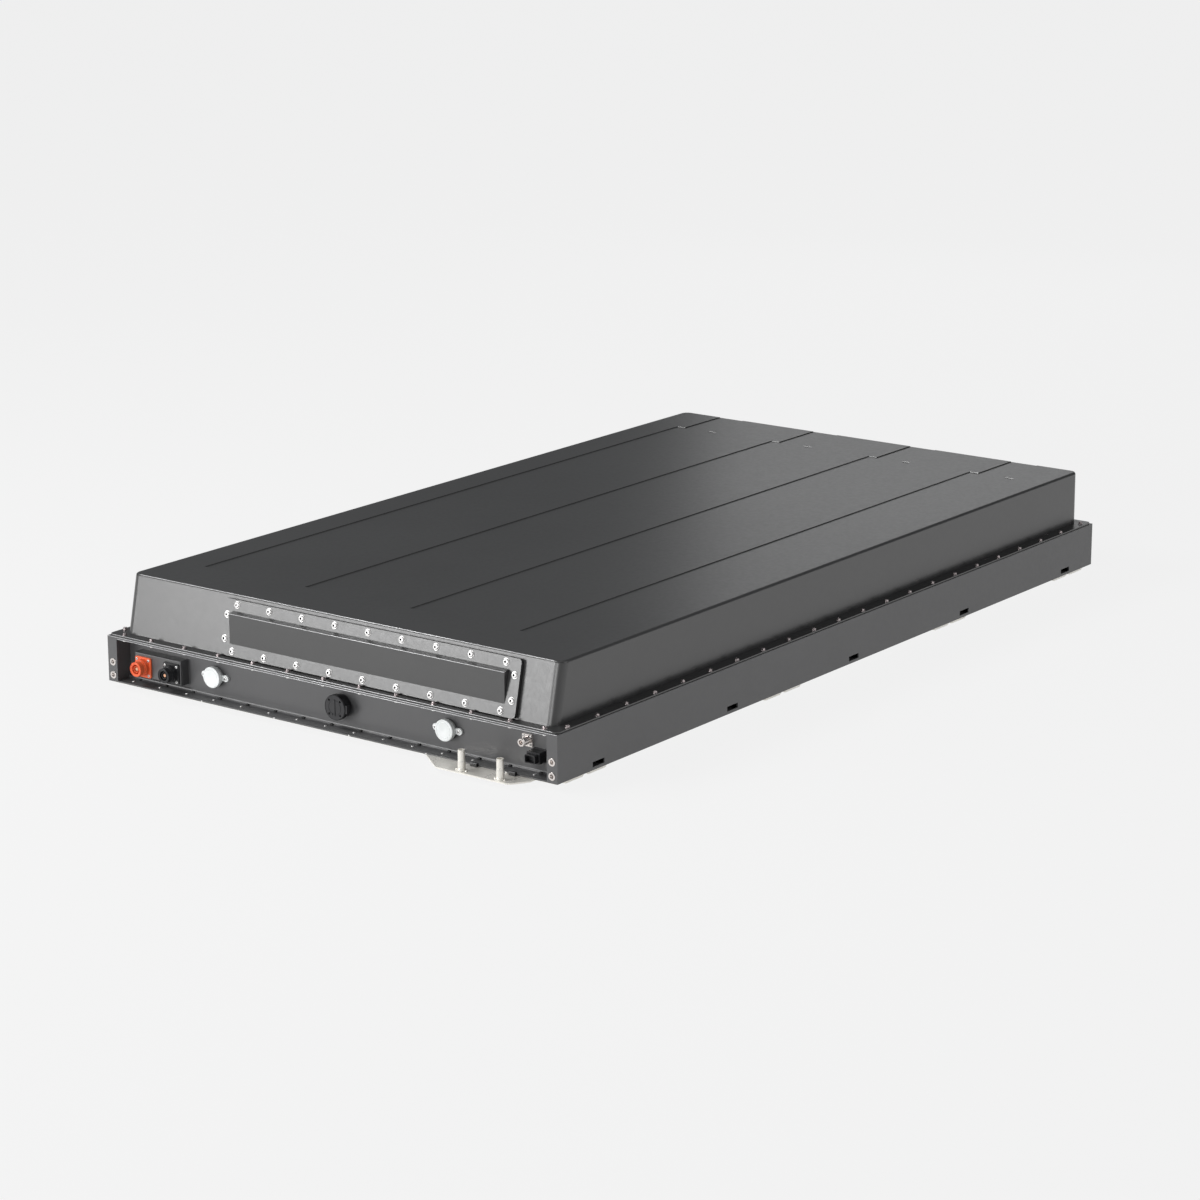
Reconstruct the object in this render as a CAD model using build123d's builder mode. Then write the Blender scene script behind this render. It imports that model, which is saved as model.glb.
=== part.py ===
"""Liquid-cooled traction battery pack: extruded frame, cold plate, deep cover and what they hold.

Units are millimetres. X runs across the pack, Y from its connector end to its rear, Z up.
The origin is under the middle of the pack, on the plane that its bottom ridges stand on.
Values named *_d are distances back from the front face of the frame.
"""
from build123d import *
from math import atan2, cos, degrees, sin
import os

os.makedirs("parts", exist_ok=True)

# ---------------------------------------------------------------- driving dimensions
pack_w = 1250.0            # over the side beams
pack_l = 2190.0            # front face of the beams to the rear face
frame_h = 104.0            # height of the frame's extrusions
cover_rise = 131.0         # cover top above its flange
ridge_h = 12.0             # pressed ridges under the cold plate
plate_t = 3.0              # cold plate sheet

# frame
beam_w = 27.0              # side beams
beam_wall = 4.0
end_wall = 6.0             # closed ends that carry the rivet nuts
web_d = 36.0               # how far the front web stands back
web_t = 6.0
front_beam_back_d = 62.0   # rear face of the front beam
front_beam_back_t = 4.0
lip_t = 5.5                # top flange of the front beam
ledge_t = 3.0              # bottom ledge of the front beam
ledge_fillet = 6.0
rear_beam_w = 24.0
cross_beam_w = 24.0
cross_beam_h = 80.0
slot_l, slot_h, slot_z = 40.0, 11.0, 12.0
slot_first_d, slot_pitch, slot_count = 138.0, 480.0, 5

# cold plate
plate_inset = 6.0
ridge_w, ridge_gap, ridge_draft = 68.0, 9.0, 6.0
ridge_end_inset = 14.0
ridge_pairs_d = (120.0, 841.0, 1547.0, 2108.0)
tongue_out = 53.0
tongue_left, tongue_right = 283.0, 565.0       # where the tongue leaves the plate
tongue_tip_left, tongue_tip_right = 352.0, 540.0
nozzle_xs = (410.0, 510.0)
nozzle_out = 40.0
nozzle_h, nozzle_r, nozzle_bore = 44.5, 7.6, 5.0
nozzle_foot_r, nozzle_foot_h = 9.2, 4.0
nozzle_step_r, nozzle_step_h = 8.2, 20.0
nozzle_rim_h, nozzle_groove_h, nozzle_groove_depth = 2.2, 1.8, 0.9
nozzle_chamfer = 1.0
clamp_size = (17.0, 8.0, 8.0)
clamp_shift, clamp_chamfer = 4.0, 1.5

# cover
cover_t = 4.0
flange_t = 3.0
gasket_t = 1.0
gasket_side_gap, gasket_end_w = 3.0, 22.0
flange_inset = 2.0
flange_corner = 14.0
wall_inset = 28.5          # cover wall from the side of the frame, at the flange
wall_lean = 1.5            # how much further in the top of the rear wall is
front_wall_d = 28.5
front_lean = 28.5          # how far the top of the sloping front stands back
rear_wall_inset = 27.0
corner_r = 20.0
top_fillet = 6.0
strip_w, strip_pitch, strip_depth, strip_draft = 124.0, 296.0, 2.0, 30.0
strip_front_d, strip_rear_inset = 190.0, 190.0
outlet_w = 76.0
strip_count = 4

# access panel on the sloping front
panel_gasket_t = 2.5
panel_t = 6.5
panel_w, panel_x = 813.0, 94.5
panel_low, panel_high = 0.5, 123.5             # distances up the slope
panel_corner = 8.0
wedge_w = 753.5
wedge_low, wedge_high = 27.0, 98.5
wedge_face_h = 66.5
wedge_wall = 3.0
panel_open_margin = 8.0
panel_open_low, panel_open_high = 27.0, 98.5   # the cover's opening, up the slope
panel_gasket_inset, wedge_gasket_gap = 2.0, 2.0
panel_row_count, panel_row_inset = 9, 38.5
panel_row_lows = (11.6, 112.5)
panel_column_lows = (36.2, 88.8)
panel_column_inset = 13.5
panel_screw_r, panel_screw_h = 8.0, 4.0

# flange screws
screw_af_r, screw_h = 5.6, 5.0
side_screw_inset, side_screw_first_d, side_screw_pitch, side_screw_count = 9.5, 46.5, 100.0, 21
side_last_screw_inset, side_last_screw_d = 15.0, 2156.0
front_screw_d = 11.5
front_screw_xs = (-583.5, -502.0, *[-404.0 + 100.0 * i for i in range(10)], 584.5)
rear_screw_inset, rear_screw_count, rear_screw_pitch = 10.5, 11, 100.0
flange_nut_r, flange_nut_h = 4.5, 5.0
ledge_screw_d, ledge_screw_first_x, ledge_screw_pitch, ledge_screw_count = 17.5, -567.0, 80.0, 15
ledge_screw_r, ledge_screw_h = 3.0, 1.5

# rivet nuts in the front ends of the side beams
rivet_shift, rivet_zs = 0.5, (15.0, 45.0)      # inward from the middle of the beam
rivet_flange_r, rivet_flange_t, rivet_r, rivet_l, rivet_bore_r = 8.5, 1.2, 5.5, 15.0, 4.0
rivet_clearance = 0.05

# high-voltage bracket and sockets
pocket_right = -411.0
pocket_low, pocket_high = 6.0, 92.0
bracket_plate_t, bracket_wall = 3.0, 3.0
bracket_left, bracket_right, bracket_low, bracket_high = -559.0, -422.0, 18.0, 74.0
bracket_face_d = 16.0
bracket_plate_right = -400.0
hv_xs, hv_z = (-531.0, -447.0), 43.5
hv_flange, hv_flange_t, hv_flange_corner = 46.0, 4.0, 4.0
hv_barrel_r, hv_barrel_l = 16.5, 24.0
hv_bore_r, hv_bore_l = 11.0, 20.0
hv_collar_r, hv_collar_l = 19.0, 9.0
hv_tail_r, hv_tail_back_d = 14.0, 40.0
hv_pin_r, hv_pin_back = 3.6, 4.0
bracket_fillet = 2.5
hv_screw_r, hv_screw_h, hv_screw_inset = 3.2, 2.4, 6.0
tail_clearance = 0.5

# vents, relief valve and small sockets on the web
vent_xs, vent_z = (-335.0, 315.0), 52.0
vent_cap_r, vent_cap_l, vent_foot_t = 23.5, 12.0, 5.0
vent_ear_r, vent_ear_out, vent_tail_r, vent_tail_l = 7.5, 31.0, 12.0, 10.0
vent_foot_r, vent_bridge_h, vent_cap_chamfer = 20.5, 12.0, 1.2
vent_screw_r, vent_screw_h = 4.0, 2.5
relief_x, relief_z = 26.0, 51.0
relief_body_r, relief_body_l = 25.0, 13.0
relief_cap_r, relief_cap_l = 28.0, 12.0
relief_tail_r, relief_tail_l = 18.0, 10.0
relief_hole_r, relief_hole_ring_r = 2.6, 21.5
relief_rib = (2.4, 36.0, 1.2)
relief_hole_depth, relief_chamfer = 3.0, 1.0
relief_tab, relief_tab_d = (8.0, 10.0, 18.0), 5.0
signal_x, signal_z = 523.0, 67.0
signal_flange, signal_flange_t, signal_corner = 26.0, 3.5, 2.0
signal_barrel_r, signal_barrel_l, signal_bore_r = 8.0, 21.0, 5.0
signal_tail_r, signal_tail_l = 6.5, 14.0
signal_screw_r, signal_screw_h, signal_screw_inset = 2.4, 1.8, 4.2
lv_x, lv_z = 555.0, 41.0
lv_foot = (35.0, 28.0, 3.0)
lv_body = (34.0, 24.0, 22.0)
lv_nose = (26.0, 18.0, 12.0)
lv_wall, lv_corner = 2.0, 2.0
lv_tail = (22.0, 14.0, 14.0)
hole_clearance = 0.4

# cells and what binds them
cell_x, cell_y, cell_h = 174.0, 71.7, 204.0
cell_pitch_y, stack_pitch_x = 72.2, 182.0
stack_columns, stack_cells = 6, 12
stack_front_ds = (330.0, 1246.0)
end_plate_t, end_plate_h = 8.0, 190.0
pad_t = 2.0
busbar_t, busbar_w, busbar_inset, busbar_gap = 2.5, 30.0, 38.0, 12.0
board_size = (60.0, 300.0, 2.0)
strap_t, strap_w, strap_low = 1.5, 30.0, 120.0

# electrical tray behind the front beam
tray_left, tray_right, tray_front_d, tray_rear_d, tray_t = -585.0, 585.0, 76.0, 312.0, 3.0
contactor_size = (70.0, 90.0, 72.0)
contactor_front_d, contactor_chamfer = 120.0, 6.0
lead_w, lead_t = 20.0, 4.0
fuse_r, fuse_l, fuse_x = 24.0, 90.0, -330.0
fuse_foot_w, fuse_foot_l, fuse_clear = 28.0, 14.0, 6.0
sensor_size, sensor_x, sensor_window = (60.0, 40.0, 50.0), -230.0, (28.0, 20.0)
bms_size, bms_x, bms_front_d, bms_chamfer = (150.0, 110.0, 60.0), 500.0, 130.0, 3.0
signal_lead_r = 4.0
link_rise_d = 318.0

# ---------------------------------------------------------------- worked-out places
front_y = (tongue_out - pack_l) / 2
frame_z = ridge_h + plate_t
frame_top = frame_z + frame_h
flange_z = frame_top + gasket_t
flange_top = flange_z + flange_t
cover_top = flange_top + cover_rise
inner_w = pack_w - 2 * beam_w
rivet_inset = beam_w / 2 + rivet_shift
slope = atan2(front_lean, cover_rise)
cell_z = frame_z + pad_t
cell_top = cell_z + cell_h


def y_at(d):
    """Y of a place d behind the front face."""
    return front_y + d


def face_plane(d, x=0.0, z=0.0):
    """Plane that faces the front, at d behind the front face, with local y up."""
    return Plane(origin=(x, y_at(d), z), x_dir=(1, 0, 0), z_dir=(0, -1, 0))


def slope_plane(off):
    """Plane on the cover's sloping front, off outside it, with local y up the slope."""
    normal = Vector(0, -cos(slope), sin(slope))
    start = Vector(0, y_at(front_wall_d), flange_top) + normal * off
    return Plane(origin=start, x_dir=(1, 0, 0), z_dir=normal)


def on_slope(up, off):
    """(y, z) of a point up the slope and off outside it."""
    y = y_at(front_wall_d) + up * sin(slope) - off * cos(slope)
    return y, flange_top + up * cos(slope) + off * sin(slope)


def finish(piece, label):
    """Label a piece and write its STEP file."""
    piece.part.label = label
    export_step(piece.part, f"parts/{label}.step")


def box_between(x0, x1, d0, d1, z0, z1, mode=Mode.ADD):
    """A box from corner to corner, in pack places."""
    middle = ((x0 + x1) / 2, y_at((d0 + d1) / 2), (z0 + z1) / 2)
    with Locations(middle):
        Box(x1 - x0, d1 - d0, z1 - z0, mode=mode)


# ---------------------------------------------------------------- side beams
def make_side_beam(side):
    """Hollow side extrusion with closed ends, vent slots and holes for the rivet nuts."""
    x = side * (pack_w - beam_w) / 2
    rib_z = frame_z + frame_h / 2 + beam_wall / 2
    with BuildPart() as beam:
        box_between(x - beam_w / 2, x + beam_w / 2, 0, pack_l, frame_z, frame_top)
        half = beam_w / 2 - beam_wall
        for low, high in ((frame_z + beam_wall, rib_z - beam_wall / 2),
                          (rib_z + beam_wall / 2, frame_top - beam_wall)):
            box_between(x - half, x + half, end_wall, pack_l - end_wall, low, high, Mode.SUBTRACT)
        wall_x = side * (pack_w / 2 - beam_wall / 2)
        for i in range(slot_count):
            d = slot_first_d + i * slot_pitch
            box_between(wall_x - beam_wall / 2, wall_x + beam_wall / 2, d - slot_l / 2, d + slot_l / 2,
                        frame_z + slot_z - slot_h / 2, frame_z + slot_z + slot_h / 2, Mode.SUBTRACT)
        with BuildSketch(face_plane(0)):
            with Locations(*[(side * (pack_w / 2 - rivet_inset), frame_z + z) for z in rivet_zs]):
                Circle(rivet_r + rivet_clearance)
        extrude(amount=-end_wall, mode=Mode.SUBTRACT)
    return beam


side_beam_left = make_side_beam(-1)
finish(side_beam_left, "side_beam_left")
side_beam_right = make_side_beam(1)
finish(side_beam_right, "side_beam_right")

# ---------------------------------------------------------------- rivet nuts
with BuildPart() as rivet_nuts:
    for side in (-1, 1):
        for z in rivet_zs:
            with BuildSketch(face_plane(-rivet_flange_t, side * (pack_w / 2 - rivet_inset), frame_z + z)):
                Circle(rivet_flange_r)
                Circle(rivet_bore_r, mode=Mode.SUBTRACT)
            extrude(amount=-rivet_flange_t)
            with BuildSketch(face_plane(0, side * (pack_w / 2 - rivet_inset), frame_z + z)):
                Circle(rivet_r)
                Circle(rivet_bore_r, mode=Mode.SUBTRACT)
            extrude(amount=-rivet_l)
finish(rivet_nuts, "rivet_nuts")

# ---------------------------------------------------------------- front beam
web_holes = [((x, vent_z), vent_tail_r) for x in vent_xs]
web_holes += [((relief_x, relief_z), relief_tail_r), ((signal_x, signal_z), signal_tail_r)]
with BuildPart() as front_beam:
    with BuildSketch(Plane(origin=(-inner_w / 2, 0, 0), x_dir=(0, 1, 0), z_dir=(1, 0, 0))):
        with BuildLine():
            Polyline((y_at(0), frame_z), (y_at(front_beam_back_d), frame_z),
                     (y_at(front_beam_back_d), frame_top), (y_at(0), frame_top),
                     (y_at(0), frame_top - lip_t), (y_at(web_d), frame_top - lip_t),
                     (y_at(web_d), frame_z + ledge_t), (y_at(0), frame_z + ledge_t), close=True)
        make_face()
    extrude(amount=inner_w)
    foot = front_beam.edges().filter_by(Axis.X).sort_by_distance((0, y_at(web_d), frame_z + ledge_t))[0]
    fillet(foot, radius=ledge_fillet)
    box_between(-inner_w / 2, inner_w / 2, web_d + web_t, front_beam_back_d - front_beam_back_t,
                frame_z + ledge_t, frame_top - lip_t, Mode.SUBTRACT)
    box_between(-inner_w / 2, pocket_right, web_d, web_d + web_t,
                frame_z + pocket_low, frame_z + pocket_high, Mode.SUBTRACT)
    for (x, z), r in web_holes:
        with BuildSketch(face_plane(web_d, x, frame_z + z)):
            Circle(r + hole_clearance)
        extrude(amount=-(front_beam_back_d - web_d), mode=Mode.SUBTRACT)
    with BuildSketch(face_plane(web_d, lv_x, frame_z + lv_z)):
        Rectangle(lv_tail[0] + 2 * hole_clearance, lv_tail[1] + 2 * hole_clearance)
    extrude(amount=-(front_beam_back_d - web_d), mode=Mode.SUBTRACT)
    box_between(bracket_left + bracket_wall, bracket_right - bracket_wall,
                front_beam_back_d - front_beam_back_t, front_beam_back_d, frame_z + bracket_low + bracket_wall,
                frame_z + bracket_high - bracket_wall, Mode.SUBTRACT)
finish(front_beam, "front_beam")

# ---------------------------------------------------------------- rear and cross beams
with BuildPart() as rear_beam:
    box_between(-inner_w / 2, inner_w / 2, pack_l - rear_beam_w, pack_l, frame_z, frame_top)
    box_between(-inner_w / 2, inner_w / 2, pack_l - rear_beam_w + beam_wall, pack_l - beam_wall,
                frame_z + beam_wall, frame_top - beam_wall, Mode.SUBTRACT)
finish(rear_beam, "rear_beam")

stack_l = stack_cells * cell_pitch_y + 2 * end_plate_t
cross_mid_d = (stack_front_ds[0] + stack_l + stack_front_ds[1]) / 2
with BuildPart() as cross_beam:
    box_between(-inner_w / 2, inner_w / 2, cross_mid_d - cross_beam_w / 2, cross_mid_d + cross_beam_w / 2,
                frame_z, frame_z + cross_beam_h)
    box_between(-inner_w / 2, inner_w / 2, cross_mid_d - cross_beam_w / 2 + beam_wall,
                cross_mid_d + cross_beam_w / 2 - beam_wall, frame_z + beam_wall,
                frame_z + cross_beam_h - beam_wall, Mode.SUBTRACT)
finish(cross_beam, "cross_beam")

# ---------------------------------------------------------------- cold plate with its tongue
plate_w = pack_w - 2 * plate_inset
with BuildPart() as cold_plate:
    with BuildSketch(Plane.XY.offset(ridge_h)):
        with Locations((0, y_at(pack_l / 2))):
            RectangleRounded(plate_w, pack_l - 2 * plate_inset, plate_inset)
        with BuildLine():
            Polyline((tongue_left, y_at(plate_inset + 1)), (tongue_left, y_at(0)),
                     (tongue_tip_left, y_at(-tongue_out)), (tongue_tip_right, y_at(-tongue_out)),
                     (tongue_right, y_at(-tongue_out / 4)), (tongue_right, y_at(plate_inset + 1)), close=True)
        make_face()
    extrude(amount=plate_t)
    tip_edges = cold_plate.edges().filter_by(Axis.Z).sort_by(Axis.Y)[:2]
    fillet(tip_edges, radius=tongue_out / 3)
    for pair_d in ridge_pairs_d:
        for step in (-1, 1):
            d = pair_d + step * (ridge_w + ridge_gap) / 2
            with BuildSketch(Plane.XY.offset(ridge_h)):
                with Locations((0, y_at(d))):
                    Rectangle(pack_w - 2 * ridge_end_inset, ridge_w)
            extrude(amount=-ridge_h, taper=degrees(atan2(ridge_draft, ridge_h)))
    for x in nozzle_xs:
        with BuildSketch(Plane.XY.offset(frame_z)):
            with Locations((x, y_at(-nozzle_out))):
                Circle(nozzle_bore)
        extrude(amount=-plate_t / 2, mode=Mode.SUBTRACT)
finish(cold_plate, "cold_plate")


# ---------------------------------------------------------------- coolant nozzles
def make_nozzle(x):
    """Turned hose spigot: foot, step, tube and a rim above its seal groove, with a bore right through."""
    rim_low = nozzle_h - nozzle_rim_h
    groove_low, groove_r = rim_low - nozzle_groove_h, nozzle_r - nozzle_groove_depth
    with BuildPart() as nozzle:
        with BuildSketch(Plane(origin=(x, y_at(-nozzle_out), frame_z), x_dir=(1, 0, 0), z_dir=(0, -1, 0))):
            with BuildLine():
                Polyline((nozzle_bore, 0), (nozzle_foot_r, 0), (nozzle_foot_r, nozzle_foot_h),
                         (nozzle_step_r, nozzle_foot_h + nozzle_chamfer), (nozzle_step_r, nozzle_step_h),
                         (nozzle_r, nozzle_step_h + nozzle_chamfer), (nozzle_r, groove_low),
                         (groove_r, groove_low), (groove_r, rim_low), (nozzle_r, rim_low),
                         (nozzle_r, nozzle_h), (nozzle_bore, nozzle_h), close=True)
            make_face()
        revolve(axis=Axis((x, y_at(-nozzle_out), frame_z), (0, 0, 1)))
    return nozzle


for nozzle_name, nozzle_x in zip(("coolant_inlet", "coolant_outlet"), nozzle_xs):
    nozzle = make_nozzle(nozzle_x)
    finish(nozzle, nozzle_name)

with BuildPart() as plate_clamps:
    for x in nozzle_xs:
        middle_x = x + clamp_shift
        box_between(middle_x - clamp_size[0] / 2, middle_x + clamp_size[0] / 2, -clamp_size[1], 0,
                    frame_z, frame_z + clamp_size[2])
    chamfer(plate_clamps.faces().sort_by(Axis.Z)[-2:].edges().filter_by(Axis.X), length=clamp_chamfer)
finish(plate_clamps, "plate_clamps")

# ---------------------------------------------------------------- top cover
wall_w = pack_w - 2 * wall_inset
wall_front, wall_rear = front_wall_d, pack_l - rear_wall_inset


def cover_profile(low, high, inward):
    """Side view of the cover between two heights above the flange, moved inward by a wall's thickness."""
    front_in, front_step = wall_front + inward / cos(slope), front_lean / cover_rise
    rear_in, rear_step = wall_rear - inward, wall_lean / cover_rise
    side = Plane(origin=(-wall_w / 2 + inward, 0, 0), x_dir=(0, 1, 0), z_dir=(1, 0, 0))
    with BuildSketch(side, mode=Mode.PRIVATE) as profile:
        with BuildLine():
            Polyline((y_at(front_in + low * front_step), flange_top + low),
                     (y_at(rear_in - low * rear_step), flange_top + low),
                     (y_at(rear_in - high * rear_step), flange_top + high),
                     (y_at(front_in + high * front_step), flange_top + high), close=True)
        make_face()
    return profile.sketch


strip_xs = [(i - (strip_count - 1) / 2) * strip_pitch for i in range(strip_count)]
with BuildPart() as cover_inside:
    extrude(cover_profile(-flange_t, cover_rise - cover_t, cover_t), amount=wall_w - 2 * cover_t)
    inside_corners = cover_inside.edges().filter_by(Axis.X, reverse=True).filter_by(Axis.Y, reverse=True)
    fillet(inside_corners, radius=corner_r - cover_t)

with BuildPart() as top_cover:
    extrude(cover_profile(0, cover_rise, 0), amount=wall_w)
    corners = top_cover.edges().filter_by(Axis.X, reverse=True).filter_by(Axis.Y, reverse=True)
    fillet(corners, radius=corner_r)
    top_edges = top_cover.faces().sort_by(Axis.Z)[-1].edges()
    fillet(top_edges, radius=top_fillet)
    with BuildSketch(Plane.XY.offset(flange_z)):
        with Locations((0, y_at(pack_l / 2))):
            RectangleRounded(pack_w - 2 * flange_inset, pack_l - 2 * flange_inset, flange_corner)
    extrude(amount=flange_t)
    add(cover_inside.part, mode=Mode.SUBTRACT)
    strip_l = pack_l - strip_front_d - strip_rear_inset
    with BuildSketch(Plane.XY.offset(cover_top)):
        with Locations(*[(x, y_at(strip_front_d + strip_l / 2)) for x in strip_xs]):
            Rectangle(strip_w, strip_l)
    extrude(amount=-strip_depth, taper=strip_draft, mode=Mode.SUBTRACT)
    with BuildSketch(Plane.XY.offset(cover_top)):
        with Locations(*[(x, y_at(pack_l - strip_rear_inset / 2 - strip_depth)) for x in strip_xs]):
            Rectangle(outlet_w, strip_rear_inset)
    extrude(amount=-strip_depth, mode=Mode.SUBTRACT)
    with BuildSketch(slope_plane(0)):
        with Locations((panel_x, (panel_open_high + panel_open_low) / 2)):
            RectangleRounded(wedge_w - 2 * panel_open_margin, panel_open_high - panel_open_low, panel_corner)
    extrude(amount=-2 * cover_t, both=True, mode=Mode.SUBTRACT)
finish(top_cover, "top_cover")

with BuildPart() as cover_gasket:
    with BuildSketch(Plane.XY.offset(frame_top)):
        with Locations((0, y_at(pack_l / 2))):
            RectangleRounded(pack_w - 2 * flange_inset, pack_l - 2 * flange_inset, flange_corner)
            RectangleRounded(inner_w + 2 * gasket_side_gap, pack_l - 2 * gasket_end_w, flange_corner,
                             mode=Mode.SUBTRACT)
    extrude(amount=gasket_t)
finish(cover_gasket, "cover_gasket")

# ---------------------------------------------------------------- access panel
panel_h = panel_high - panel_low
panel_mid = (panel_high + panel_low) / 2
panel_off = panel_gasket_t + panel_t


def wedge_profile(inward):
    """Side view of the bump on the access panel, from inside the panel to its upright face."""
    low_y, low_z = on_slope(wedge_low, panel_off)
    high_y, high_z = on_slope(wedge_high, panel_off)
    in_low_y, in_low_z = on_slope(wedge_low + inward, panel_gasket_t)
    in_high_y, in_high_z = on_slope(wedge_high - inward, panel_gasket_t)
    top_z = low_z + wedge_face_h
    side = Plane(origin=(panel_x - wedge_w / 2 + inward, 0, 0), x_dir=(0, 1, 0), z_dir=(1, 0, 0))
    with BuildSketch(side, mode=Mode.PRIVATE) as profile:
        with BuildLine():
            Polyline((in_low_y, in_low_z), (low_y + inward, low_z + inward), (low_y + inward, top_z - inward),
                     (high_y, high_z - inward), (in_high_y, in_high_z), close=True)
        make_face()
    return profile.sketch


with BuildPart() as access_panel:
    with BuildSketch(slope_plane(panel_gasket_t)):
        with Locations((panel_x, panel_mid)):
            RectangleRounded(panel_w, panel_h, panel_corner)
    extrude(amount=panel_t)
    extrude(wedge_profile(0), amount=wedge_w)
    extrude(wedge_profile(wedge_wall), amount=wedge_w - 2 * wedge_wall, mode=Mode.SUBTRACT)
finish(access_panel, "access_panel")

with BuildPart() as panel_gasket:
    with BuildSketch(slope_plane(0)):
        with Locations((panel_x, panel_mid)):
            RectangleRounded(panel_w - 2 * panel_gasket_inset, panel_h - 2 * panel_gasket_inset, panel_corner)
            Rectangle(wedge_w, wedge_high - wedge_low + 2 * wedge_gasket_gap, mode=Mode.SUBTRACT)
    extrude(amount=panel_gasket_t)
finish(panel_gasket, "panel_gasket")

row_half = panel_w / 2 - panel_row_inset
row_step = 2 * row_half / (panel_row_count - 1)
panel_screw_places = [(panel_x - row_half + i * row_step, up)
                      for up in panel_row_lows for i in range(panel_row_count)]
panel_screw_places += [(panel_x + side * (panel_w / 2 - panel_column_inset), up)
                       for side in (-1, 1) for up in panel_column_lows]
with BuildPart() as panel_screws:
    with BuildSketch(slope_plane(panel_off)):
        with Locations(*panel_screw_places):
            RegularPolygon(panel_screw_r, 8)
    extrude(amount=panel_screw_h)
finish(panel_screws, "panel_screws")

# ---------------------------------------------------------------- flange screws and nuts
side_screw_ds = [side_screw_first_d + i * side_screw_pitch for i in range(side_screw_count)]
cover_screw_places = [(side * (pack_w / 2 - side_screw_inset), y_at(d)) for side in (-1, 1) for d in side_screw_ds]
cover_screw_places += [(side * (pack_w / 2 - side_last_screw_inset), y_at(side_last_screw_d)) for side in (-1, 1)]
cover_screw_places += [(x, y_at(front_screw_d)) for x in front_screw_xs]
cover_screw_places += [((i - (rear_screw_count - 1) / 2) * rear_screw_pitch, y_at(pack_l - rear_screw_inset))
                       for i in range(rear_screw_count)]
with BuildPart() as cover_screws:
    with BuildSketch(Plane.XY.offset(flange_top)):
        with Locations(*cover_screw_places):
            RegularPolygon(screw_af_r, 6)
    extrude(amount=screw_h)
finish(cover_screws, "cover_screws")

with BuildPart() as flange_nuts:
    with BuildSketch(Plane.XY.offset(frame_top - lip_t)):
        with Locations(*[(x, y_at(front_screw_d)) for x in front_screw_xs]):
            RegularPolygon(flange_nut_r, 6)
    extrude(amount=-flange_nut_h)
finish(flange_nuts, "flange_nuts")

with BuildPart() as ledge_screws:
    with BuildSketch(Plane.XY.offset(frame_z + ledge_t)):
        with Locations(*[(ledge_screw_first_x + i * ledge_screw_pitch, y_at(ledge_screw_d))
                         for i in range(ledge_screw_count)]):
            RegularPolygon(ledge_screw_r, 8)
    extrude(amount=ledge_screw_h)
finish(ledge_screws, "ledge_screws")

# ---------------------------------------------------------------- high-voltage bracket and sockets
plate_back_d = web_d + web_t + bracket_plate_t
with BuildPart() as hv_bracket:
    box_between(-inner_w / 2, bracket_plate_right, web_d + web_t, plate_back_d,
                frame_z + ledge_t, frame_top - lip_t)
    box_between(bracket_left, bracket_right, bracket_face_d, web_d + web_t,
                frame_z + bracket_low, frame_z + bracket_high)
    front_edges = hv_bracket.edges().filter_by(Axis.Z).group_by(Axis.Y)[0]
    front_edges += hv_bracket.edges().filter_by(Axis.X).group_by(Axis.Y)[0]
    fillet(front_edges, radius=bracket_fillet)
    box_between(bracket_left + bracket_wall, bracket_right - bracket_wall, bracket_face_d + bracket_wall,
                plate_back_d, frame_z + bracket_low + bracket_wall,
                frame_z + bracket_high - bracket_wall, Mode.SUBTRACT)
    with BuildSketch(face_plane(bracket_face_d)):
        with Locations(*[(x, frame_z + hv_z) for x in hv_xs]):
            Circle(hv_tail_r + tail_clearance)
    extrude(amount=-bracket_wall, mode=Mode.SUBTRACT)
finish(hv_bracket, "hv_bracket")


def make_hv_socket(x):
    """Round high-voltage socket: square flange, stepped barrel with its bore, and a tail behind."""
    z = frame_z + hv_z
    flange_d = bracket_face_d - hv_flange_t
    with BuildPart() as socket:
        with BuildSketch(face_plane(bracket_face_d, x, z)):
            RectangleRounded(hv_flange, hv_flange, hv_flange_corner)
        extrude(amount=hv_flange_t)
        with BuildSketch(face_plane(flange_d, x, z)):
            Circle(hv_collar_r)
        extrude(amount=hv_collar_l)
        with BuildSketch(face_plane(flange_d, x, z)):
            Circle(hv_barrel_r)
        extrude(amount=hv_barrel_l)
        with BuildSketch(face_plane(bracket_face_d, x, z)):
            Circle(hv_tail_r)
        extrude(amount=-(hv_tail_back_d - bracket_face_d))
        with BuildSketch(face_plane(flange_d - hv_barrel_l, x, z)):
            Circle(hv_bore_r)
        extrude(amount=-hv_bore_l, mode=Mode.SUBTRACT)
    return socket


for socket_name, socket_x in zip(("hv_socket_orange", "hv_socket_black"), hv_xs):
    hv_socket = make_hv_socket(socket_x)
    finish(hv_socket, socket_name)

barrel_end_d = bracket_face_d - hv_flange_t - hv_barrel_l
with BuildPart() as hv_contacts:
    for x in hv_xs:
        with BuildSketch(face_plane(barrel_end_d + hv_bore_l, x, frame_z + hv_z)):
            Circle(hv_pin_r)
        extrude(amount=hv_bore_l - hv_pin_back)
finish(hv_contacts, "hv_contacts")

with BuildPart() as hv_socket_screws:
    with BuildSketch(face_plane(bracket_face_d - hv_flange_t)):
        for x in hv_xs:
            with Locations((x, frame_z + hv_z)):
                with GridLocations(hv_flange - 2 * hv_screw_inset, hv_flange - 2 * hv_screw_inset, 2, 2):
                    RegularPolygon(hv_screw_r, 8)
    extrude(amount=hv_screw_h)
finish(hv_socket_screws, "hv_socket_screws")

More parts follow.
